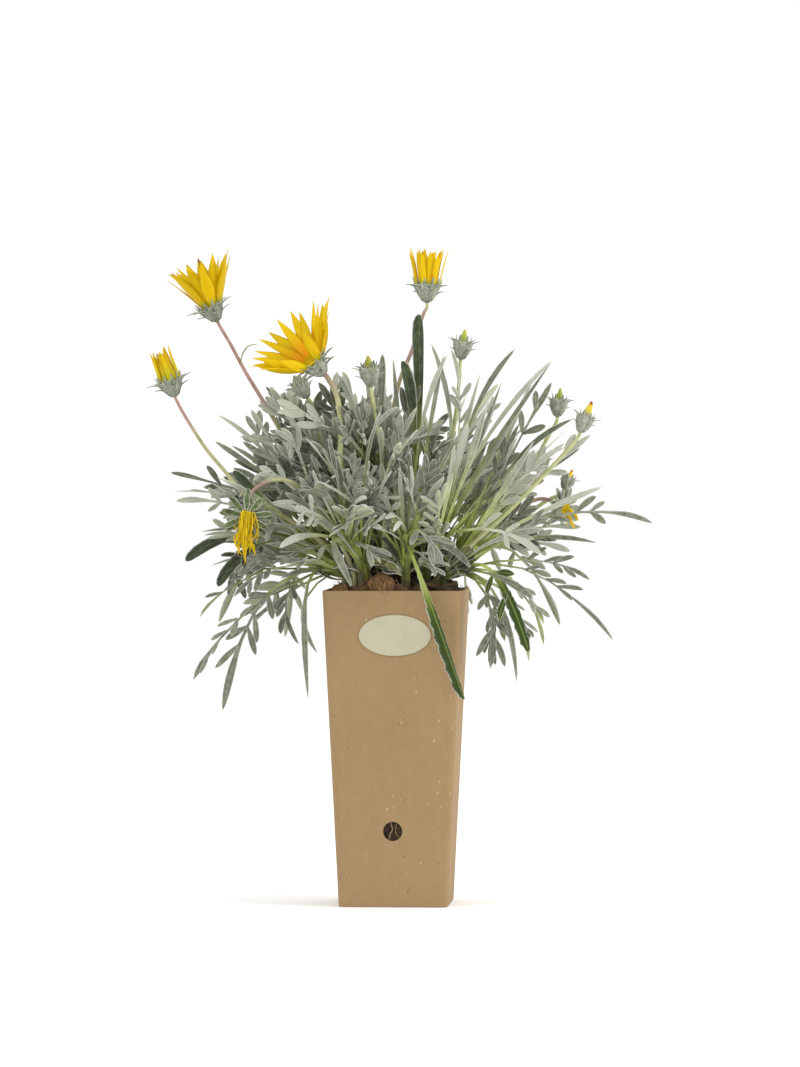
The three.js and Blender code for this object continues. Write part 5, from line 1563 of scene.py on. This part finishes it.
def make_cup(name, head, material):
    base = np.array(head["base"], float)
    axis = unit(np.array(head["axis"], float))
    r, h = head["cup"], cup_height(head)
    green = GREEN_CUPS.get(name, 0.0)
    tone = (max(green, HOOK_GREEN), 0, 0)
    random = make_random(len(name) * 31)
    pile = Pile()
    wilted = head.get("wilted", False)
    wide = 0.72 * r if wilted else r
    side = cup_side(wide, h)
    add_turned(pile, base, axis, [*side, (1.01 * h, 0.9 * wide), (0.97 * h, 0.6 * wide)], 96, 16, 0.13,
               (0.8 * green * wilted, 0, 0, 1), random() - DARK_CUPS.get(name, 0.0))
    spread = head["bracts"]
    if wilted:
        open_face = unit(axis + STAR_TURN)
        middle = base + axis * 1.15 * h
        rows = [(whorl(base, axis, 6, 0.5 * r, 0.35 * h, 1.1 * r + 2, spread, 0.6, 0, 0), 1.5),
                (whorl(middle, open_face, 9, 0.4 * r, 0, 1.75 * r + 2.5, spread - 2, 0.0, 0.5, 0), 1.9),
                (whorl(middle, open_face, 8, 0.4 * r, -1.2, 1.9 * r + 2.5, spread + 6, 0.0, 0.1, 0), 2.0)]
        for blades, width in rows:
            add_whorl(pile, blades, "leaflet", width, 0.6, 0.3, tone, random)
    else:
        reach = HOOK_REACH.get(name, 1.0)
        rows = [(hooks(base, axis, 5, 0.7 * r, 0.42 * h, reach * (0.75 * r + 2), spread - 18, 2.0, 0.1), 1.0),
                (hooks(base, axis, 8, 0.9 * r, 0.76 * h, reach * (0.9 * r + 2), spread - 22, 2.7, 0.4), 1.1)]
        for blades, width in rows:
            add_whorl(pile, blades, "lance", width, 0.6, 0.5, tone, random)
        upright = whorl(base, axis, 11, 0.98 * r, 0.9 * h, 0.75 * r, 0.5 * head["spread"], pull=0.3,
                        start=0.3, sag=0)
        add_whorl(pile, upright, "bract", 0.85, 0.5, 0.3, (0.35 + 0.4 * green, 0.45, 0), random)
        add_scales(pile, base, axis, side, 16, 0.5, 0.08 * h, 1.06 * h, 1.25, 0.5, (0, 0, 0), random,
                   DARK_CUPS.get(name, 0.0))
    make_piece("cup_of_" + name, pile, material, [name + "_cup"])


def add_disc(pile, base, axis, r, start, random):
    """The middle of a flower: a low dome covered in small upright florets."""
    dome = [(start, 0.82 * r), (start + 0.5, 0.8 * r), (start + 0.9, 0.7 * r), (start + 1.5, 0.5 * r),
            (start + 1.8, 0.3 * r)]
    add_turned(pile, base, axis, dome, 24, 12, 0.04, (0, 0.8, 0, 1), 0.3)
    for count, share, height in ((18, 0.62, 2.6), (13, 0.42, 3.2), (7, 0.2, 3.5)):
        florets = whorl(base, axis, count, share * r, start + 0.7, height, 10, pull=0.2, start=0.1 + share,
                        sag=0)
        add_whorl(pile, florets, "bract", 0.42, 0.4, 0.1, (0, 1, 1), random)


def add_shrivelled(pile, base, axis, head, start, random):
    """Wilted petals: narrow twisted ribbons that fall in a loose bundle."""
    r = 0.7 * head["cup"]
    e1, e2 = axes_round(axis)
    many = head["ray"] > 20
    for i in range(26 if many else 5):
        turn = i * GOLDEN + random()
        radial = toward(e1, e2, turn)
        root = base + axis * (start - 1) + radial * r * (0.1 + 0.75 * random())
        curled = many and i % 3 == 0
        length = head["ray"] * ((0.35 if curled else 0.5) + 0.55 * random()) * (1 if many else 0.75)
        rise, lean = (-0.6, 0.9) if curled else (0.9, 0.1)
        heading = unit(axis * rise + radial * (lean + 0.5 * random()))
        drag = -6.0 if curled else -1.6 - 1.2 * random()
        inward = 1.6 if curled else 0.3
        line = sweep(root, heading, length, (-inward * radial[0], -inward * radial[1], drag), 10)
        wave = np.linspace(0, 1, 11)[:, None]
        sway = (0.06 + 0.12 * random()) * length * np.sin((4 + 5 * random()) * wave + 6.3 * random()) * wave
        line = line + radial * sway + np.cross(axis, radial) * sway * (random() - 0.5) * 2
        frames = frames_along(smooth_run(line, 2), np.cross(axis, radial), 5 * (random() - 0.5))
        brown = 0.7 if random() < 0.3 else 0
        add_blade(pile, frames, "ribbon", 0.5 + 0.5 * random(), PETAL_THICK, 0.7, (brown, 1, 1), random(),
                  length=length, ripple=0.4)


# What the petals of each bloom look like: shape, width beside the CAD part's, how far they roll up
# lengthwise, how many stand between the outer ones and how long those are, by how many degrees those in
# front fold up, and where it differs from the CAD part, how many there are, how they lean, how far out
# they stand and how the whole flower turns.
PETALS = {
    "bloom_upper_left": dict(shape="flare", width=1.1, channel=0.15, count=15, between=13, reach=0.96,
                             foot=0.98, turn=(0.1, 0, 0)),
    "bloom_open": dict(shape="petal", width=0.8, channel=0.15, count=23, between=0, reach=0, lift=30,
                       foot=0.95),
    "bloom_top": dict(shape="roll", width=0.82, channel=0.3, count=14, between=11, reach=0.95, lean=10,
                      foot=1.12),
    "bloom_left": dict(shape="roll", width=1.0, channel=0.5, between=7, reach=0.86, lean=-6, foot=1.16),
}
NEAREST = -0.5  # petals of the open bloom that point further to the front than this are those in LAID
# Its petals in front, whose outer faces show: direction, which way their width runs, length share.
LAID = [
    ((-1, -0.25, -0.04), (0.1, -0.25, 1), 0.97), ((-1, -0.4, 0.10), (0.1, -0.1, 1), 0.9),
    ((-0.8, -0.6, 0.14), (0.3, 0.1, 1), 0.62), ((-0.36, -0.55, 0.65), (1, 0.2, 0.5), 0.72),
    ((0.02, -0.4, 0.9), (1, 0.2, 0.1), 0.82), ((0.16, -0.2, 1), (1, 0.3, 0), 0.95),
]


def add_laid(pile, base, axis, start, foot, length, width, random):
    for direction, side, share in LAID:
        heading = unit(np.array(direction, float))
        radial = unit(heading - axis * (axis @ heading))
        line = sweep(base + axis * start + radial * foot, heading, share * length, 0.3 * axis, 6)
        across = unit(np.array(side, float) - heading * (heading @ side))
        frames = frames_along(smooth_run(line, 3), across)
        add_blade(pile, frames, "petal", width, PETAL_THICK, 0.2, (0, 0, 0), random(), length=length,
                  ripple=0.05)


def make_rays(name, head, material):
    base = np.array(head["base"], float)
    axis = unit(np.array(head["axis"], float))
    r = 0.84 * head["cup"]
    start = cup_height(head) + SEAT
    random = make_random(len(name) * 77)
    pile = Pile()
    add_disc(pile, base, axis, r, start, random)
    count, length, spread, width = head["rays"], head["ray"], head["spread"], head["width"]
    if head.get("wilted", False):
        rays = whorl(base, axis, count, 0.5 * r, start + 0.5, 0.9 * length, 0.6 * spread, pull=-0.3,
                     start=0.25, sag=1.1)
        dried = (0, 1, 1 if length > 20 else 0)
        add_whorl(pile, rays[::2], "ribbon", 0.75, PETAL_THICK, 0.7, dried, random, 6, length)
        add_shrivelled(pile, base, axis, head, start, random)
        make_piece("petals_of_" + name, pile, material, [name + "_rays"])
        return
    brown = BROWN_TIPS.get(name, 0.0)
    made = PETALS[name]
    count = made.get("count", count)
    axis = unit(axis + np.array(made.get("turn", (0, 0, 0))))

    def tone(draw):
        return (1.0 if draw() < brown else 0.0, 0, 0)

    lift = made.get("lift", 0.0)
    lean = made.get("lean", spread)
    foot = made.get("foot", 0.76) * r
    outer = whorl(base, axis, count, foot, start - 0.6, length + 1, lean, pull=0.12, start=0.25, sag=0,
                  step=1.3, fold=3, lift=lift)
    if lift:
        outer = [blade for blade in outer if blade[2][1] > NEAREST]
        add_laid(pile, base, axis, start - 0.6, foot, length, 1.1 * made["width"] * width, random)
    between = whorl(base, axis, made["between"], foot - 0.36 * r, start - 0.2, made["reach"] * length,
                    lean - 6, pull=0.14, start=0.75, sag=0, step=0.5, fold=2)
    for blades in (outer, between):
        add_whorl(pile, blades, made["shape"], made["width"] * width, PETAL_THICK, made["channel"], tone,
                  random, 0.4, length)
    make_piece("petals_of_" + name, pile, material, [name + "_rays"])


# How wide and how tall the petal tip of a bud is beside a full one.
CONES = {"bud_far_right": (0.95, 1.4), "bud_front": (0.8, 0.9)}
YOUNG_BUD = "bud_front"  # the bud whose innermost bracts are yellow-green


def make_bud(name, head, material):
    base = np.array(head["base"], float)
    axis = unit(np.array(head["axis"], float))
    k = head["bud"]
    orange = BUD_TIPS[name]
    closed = 1.0 if name == "bud_left" else 0.0
    random = make_random(len(name) * 13)
    pile = Pile()
    barrel = [(0, 1.2), (0.8, 2.0), (2.4, 3.2), (4.8, 4.4), (7.4, 5.2), (9.6, 5.5), (11.2, 5.0)]
    barrel = [(a * k, b * k) for a, b in barrel]
    wide, tall = CONES.get(name, (0.75, 1.0))
    cone = [(12.2, 2.7), (13, 2.6), (14.6, 2.3), (16.4, 1.75), (18, 1.05), (18.8, 0.4)]
    cone = [(12.2 + tall * (a - 12.2), wide * b) for a, b in cone]
    if closed:
        cone = [(12.6, 3.8), (14.4, 2.6), (16, 1.4), (17.4, 0.4)]
    profile = barrel + [(a * k, b * k) for a, b in cone]
    heights = np.array(profile)[:, :1]
    petals = (1 - closed) * np.interp(heights / heights.max(), [0.6, 0.66], [0, 1])
    add_turned(pile, base, axis, profile, 60, 10, 0.12, painted(0, petals, orange, 1), random())
    add_scales(pile, base, axis, barrel, 10, 0.5, 0.8 * k, 12.0 * k, 1.5 * k, 0.3, (0, 0, 0), random)
    rows = [
        (hooks(base, axis, 7, 4.8 * k, 9.0 * k, 6.8 * k, 30, 0.9, 0), 1.35),
        (hooks(base, axis, 4, 4.6 * k, 5.0 * k, 5.6 * k, 38, 0.9, 0.4), 1.1),
        (whorl(base, axis, 6, 4.2 * k, 10.2 * k, 5.0 * k, 2, pull=0.2, start=0.1, sag=0.0), 1.1),
    ]
    for (row, width), green in zip(rows, (0, 0, 0.3)):
        young = (0.95 if name == YOUNG_BUD else 0.4) * (1 - closed) * (green > 0)
        wide = width * k * (1 + 0.5 * (young > 0.5))
        add_whorl(pile, row, "bract", wide, 0.55, 0.35, (green, young, 0), random)
    make_piece("head_of_" + name, pile, material, [name])


def make_heads():
    petals = [petal_material("petal_yellow", 0), petal_material("petal_young", 1)]
    stalk = stalk_material()
    cup = cup_material()
    for name, head in HEADS.items():
        pile = Pile()
        add_stalk(pile, name, head)
        make_piece("stalk_of_" + name, pile, stalk, [name + "_stalk"])
        if "bud" in head:
            make_bud(name, head, cup)
            continue
        make_cup(name, head, cup)
        make_rays(name, head, petals[name == "bloom_left"])


# ---------------------------------------------------------------- pot, label and soil

PLAIN = (0, 0, 1, 0.5)  # painted on the pot, the label and the soil, whose materials don't read it
RING = {"corner": 6, "flat": 10}  # how many steps there are round each corner and along each side
SHARP = {"pot": 35, "label": 40}  # edges that turn by more degrees than this stay sharp


def pot_ring(z, inset):
    """A ring round the pot at a height, drawn in from its outer face by an inset."""
    half = pot_half(z) - inset
    corner = max(POT["corner"] - inset, 1)
    arcs = []
    for quarter in range(4):
        middle = (half - corner) * np.array([1 if quarter in (0, 3) else -1, 1 if quarter < 2 else -1])
        a = (quarter + np.arange(RING["corner"] + 1) / RING["corner"]) * math.pi / 2
        arcs.append(middle + corner * np.stack([np.cos(a), np.sin(a)], 1))
    flat = np.arange(1, RING["flat"])[:, None] / RING["flat"]
    ring = np.vstack([part for i in range(4) for part in (arcs[i], lerp(arcs[i][-1], arcs[i - 3][0], flat))])
    return np.hstack([ring, np.full((len(ring), 1), float(z))])


def make_pot():
    wall = POT["wall"]
    top = POT["height"]
    heights = np.linspace(1.2, top - 0.8, 12)
    rows = [(0, 0.5), (0.4, 0.1), *((z, 0) for z in heights), (top - 0.15, 0.12), (top, 0.45),
            (top, wall - 0.45), (top - 0.15, wall - 0.12), *((z, wall) for z in heights[:0:-1]),
            (POT["floor"], wall)]
    pile = Pile()
    loft(pile, np.array([pot_ring(z, inset) for z, inset in rows]), PLAIN)
    pot = make_piece("pot_kraft", pile, kraft_material(), ["pot"], turned=False)
    bpy.ops.mesh.primitive_cylinder_add(vertices=56, radius=HOLE["radius"] * MM, depth=12 * MM,
                                        location=(0, -pot_half(HOLE["z"]) * MM, HOLE["z"] * MM),
                                        rotation=(math.pi / 2, 0, 0))
    bore = bpy.context.active_object
    cut = pot.modifiers.new("hole", "BOOLEAN")
    cut.operation = "DIFFERENCE"
    cut.solver = "EXACT"
    cut.object = bore
    bpy.context.view_layer.update()
    cut_mesh = bpy.data.meshes.new_from_object(pot.evaluated_get(bpy.context.evaluated_depsgraph_get()))
    pot.modifiers.clear()
    pot.data = cut_mesh
    bpy.data.objects.remove(bore)
    with_angle(pot, SHARP["pot"])


def with_angle(piece, degrees):
    """Smooth faces, with sharp edges where they turn by more than an angle."""
    piece.data.shade_smooth()
    piece.data.set_sharp_from_angle(angle=math.radians(degrees))


def make_label():
    slope = math.atan((POT["top"] - POT["base"]) / 2 / POT["height"])
    angle = np.arange(72) / 72 * 2 * math.pi
    rings = []
    for inset, depth in ((0.3, 0.25), (0.0, 0.3), (0.0, 0.68), (0.12, 0.8), (0.5, 0.82), (8, 0.84)):
        squash = LABEL["height"] / LABEL["width"] if inset > 1 else 1
        x = (LABEL["width"] / 2 - inset) * np.cos(angle)
        u = (LABEL["height"] / 2 - inset * squash) * np.sin(angle)
        y = -pot_half(LABEL["z"]) - depth * math.cos(slope) - u * math.sin(slope)
        z = LABEL["z"] + u * math.cos(slope) - depth * math.sin(slope)
        rings.append(np.stack([LABEL["x"] + x, y, z], 1))
    pile = Pile()
    loft(pile, np.array(rings), PLAIN)
    label = make_piece("label_oval", pile, label_material(), ["label"], turned=False)
    with_angle(label, SHARP["label"])


def soil_lift(x, y):
    mound = SOIL["mound"] * np.maximum(0, 1 - (x * x + y * y) / 1500)
    swell = np.sin(0.13 * x + 1.1) * np.cos(0.11 * y) + 0.6 * np.sin(0.31 * x - 0.27 * y)
    return mound + SOIL["swell"] * swell


def crumbs(x, y):
    return (0.7 * np.sin(0.9 * x + 1.3 * np.sin(0.7 * y)) * np.cos(1.1 * y - 0.4 * x)
            + 0.45 * np.sin(2.3 * x + 0.9) * np.sin(1.9 * y + 1.3 * np.sin(0.8 * x)))


# Coir lumps on the soil: place, radii and how much of them is coir.
LUMPS = [
    ((-7, -32, 180), (9, 6.3, 10.5), 1.0), ((-30, -33, 178.5), (5.5, 4, 6.5), 1.0),
    ((16, -33, 179), (7, 4, 4), 0.2), ((30, -31, 180), (6, 5, 4.5), 0.1),
    ((-18, -34, 179.5), (6, 3.5, 5), 0.6), ((5, -34, 179), (5, 3, 5), 0.5),
    ((22, 18, 180), (12, 9, 9), 0.0), ((-4, 24, 180), (11, 8, 10), 0.0), ((-26, 22, 180), (10, 9, 8), 0.1),
    ((32, -8, 178), (5, 7, 8), 0.0), ((-12, -12, 184), (8, 7, 6), 0.0), ((14, -18, 182), (7, 6, 6), 0.0),
    # The last two lumps, raised behind the front stems, are dark soil set there as painted shade among the
    # stems.
    ((-10, 2, 187), (10, 7, 9), 0.0), ((3, 4, 186), (9, 7, 9), 0.0),
]
HOLE_FACE = -pot_half(HOLE["z"]) + POT["wall"] + SOIL["gap"]
# Bare roots and stems in the soil: places, radius and tone. The first two cross the hole.
ROOTS = [
    ([(-2.6, HOLE_FACE, 37.8), (-1.4, HOLE_FACE - 0.4, 42), (-0.2, HOLE_FACE - 0.5, 45),
      (-1.6, HOLE_FACE - 0.2, 49)], 0.4, (0.75, 0.4, 0, 0)),
    ([(4.6, HOLE_FACE, 39), (1.6, HOLE_FACE - 0.3, 43), (2.2, HOLE_FACE, 48)], 0.28, (0.8, 0.3, 0, 0)),
    ([(10, -28, 181), (18, -32, 184.5), (27, -32, 183), (37, -33, 185.5)], 1.3, (0.3, 0.0, 0, 0)),
]


def add_ball(pile, theta, angle, radii, centre, coir, random, waves=0.0):
    """A closed lump of rings from below to above, uneven by as much as waves says."""
    x, y = np.sin(theta)[:, None] * np.cos(angle), np.sin(theta)[:, None] * np.sin(angle)
    z = -np.cos(theta)[:, None] * np.ones_like(angle)
    rough = 1.0
    if waves:
        p = 6 * random()
        rough = 1 + waves * np.sin(5 * x + p) * np.cos(6 * z + 2 * p)
        rough = (rough + 0.5 * waves * np.sin(17 * x + 9 * z + p) * np.cos(13 * y))[..., None]
    rings = np.stack([x, y, z], -1) * np.array(radii) * rough + np.array(centre)
    loft(pile, rings, (0, 0, 1, random()), (coir, 0, 0, 0))


def add_crumb(pile, centre, size, coir, random):
    angle = np.arange(6) / 6 * 2 * math.pi + random()
    stretch = np.array([0.7 + 0.7 * random(), 0.7 + 0.7 * random(), 0.5 + 0.4 * random()]) * size
    add_ball(pile, np.array([0.35, 1.1, 1.9, 2.7]), angle, stretch, centre, coir, random)


def add_fibre(pile, start, heading, length, radius, tone, random):
    pull = np.array([random() - 0.5, random() - 0.5, random() - 0.9]) * 2.5
    line = smooth_run(sweep(start, heading, length, pull, 5), 2)
    radii = radius * np.interp(np.linspace(0, 1, len(line)), [0, 0.7, 1], [1, 0.8, 0.3])
    add_tube(pile, line, radii, tone, STEM_SIDES["fibre"])


# The rings of the soil: heights of those on its walls, and how far out those on its surface lie, as shares
# of the way to its edge.
SOIL_WALL = (POT["floor"] + SEAT, 30, 36, 40, 44, 48, 52, 60, 120, SOIL["top"] - 6)
SOIL_RINGS = (1.0, 0.985, 0.96, 0.93, 0.9, 0.86, 0.82, 0.77, 0.72, 0.66, 0.6, 0.54, 0.47, 0.4, 0.32, 0.24,
              0.15, 0.06)
LOOSE = {"crumbs": 150, "reach": 70, "fibres": 16}  # crumbs on the soil, how wide they lie, fibres on a lump


def make_soil():
    gap = POT["wall"] + SOIL["gap"]
    edge = pot_ring(SOIL["top"], gap)
    rings = [pot_ring(z, gap) for z in SOIL_WALL]
    for share in SOIL_RINGS:
        x, y = edge[:, 0] * share, edge[:, 1] * share
        z = SOIL["top"] + soil_lift(x, y) + crumbs(x, y) * min(1, (1 - share) * 20)
        rings.append(np.stack([x, y, z], 1))
    pile = Pile()
    loft(pile, np.array(rings), PLAIN)
    random = make_random(51)
    theta = np.linspace(0.04, math.pi - 0.04, 22)
    angle = np.arange(34) / 34 * 2 * math.pi
    for centre, radii, coir in LUMPS:
        add_ball(pile, theta, angle, radii, centre, coir, random, 0.10)
    for _ in range(LOOSE["crumbs"]):
        x, y = (random() - 0.5) * LOOSE["reach"], (random() - 0.5) * LOOSE["reach"]
        size = 0.7 + 1.5 * random()
        z = SOIL["top"] + float(soil_lift(x, y)) + 0.3 * size
        add_crumb(pile, (x, y, z), size, 0.7 * random() ** 3, random)
    for centre, radii, coir in LUMPS[:2] + LUMPS[4:]:
        for _ in range(LOOSE["fibres"]):
            turn, rise = 6.28 * random(), random()
            out = np.array([math.cos(turn) * (1 - rise), math.sin(turn) * (1 - rise), rise])
            start = np.array(centre) + np.array(radii) * unit(out) * 0.93
            heading = unit(out + np.array([random() - 0.5, random() - 0.5, 0.2]))
            add_fibre(pile, start, heading, 2.5 + 4 * random(), 0.16, (1, 0.25, 0, 0), random)
    for points, radius, tone in ROOTS:
        line = smooth_run(points, 5)
        add_tube(pile, line, [radius] * len(line), tone, STEM_SIDES["root"])
    make_piece("soil_coir", pile, soil_material(), ["soil"], turned=False)


# ---------------------------------------------------------------- the scene

make_camera()
make_stage()
make_shoots(grow_plant())
make_heads()
make_pot()
make_label()
make_soil()
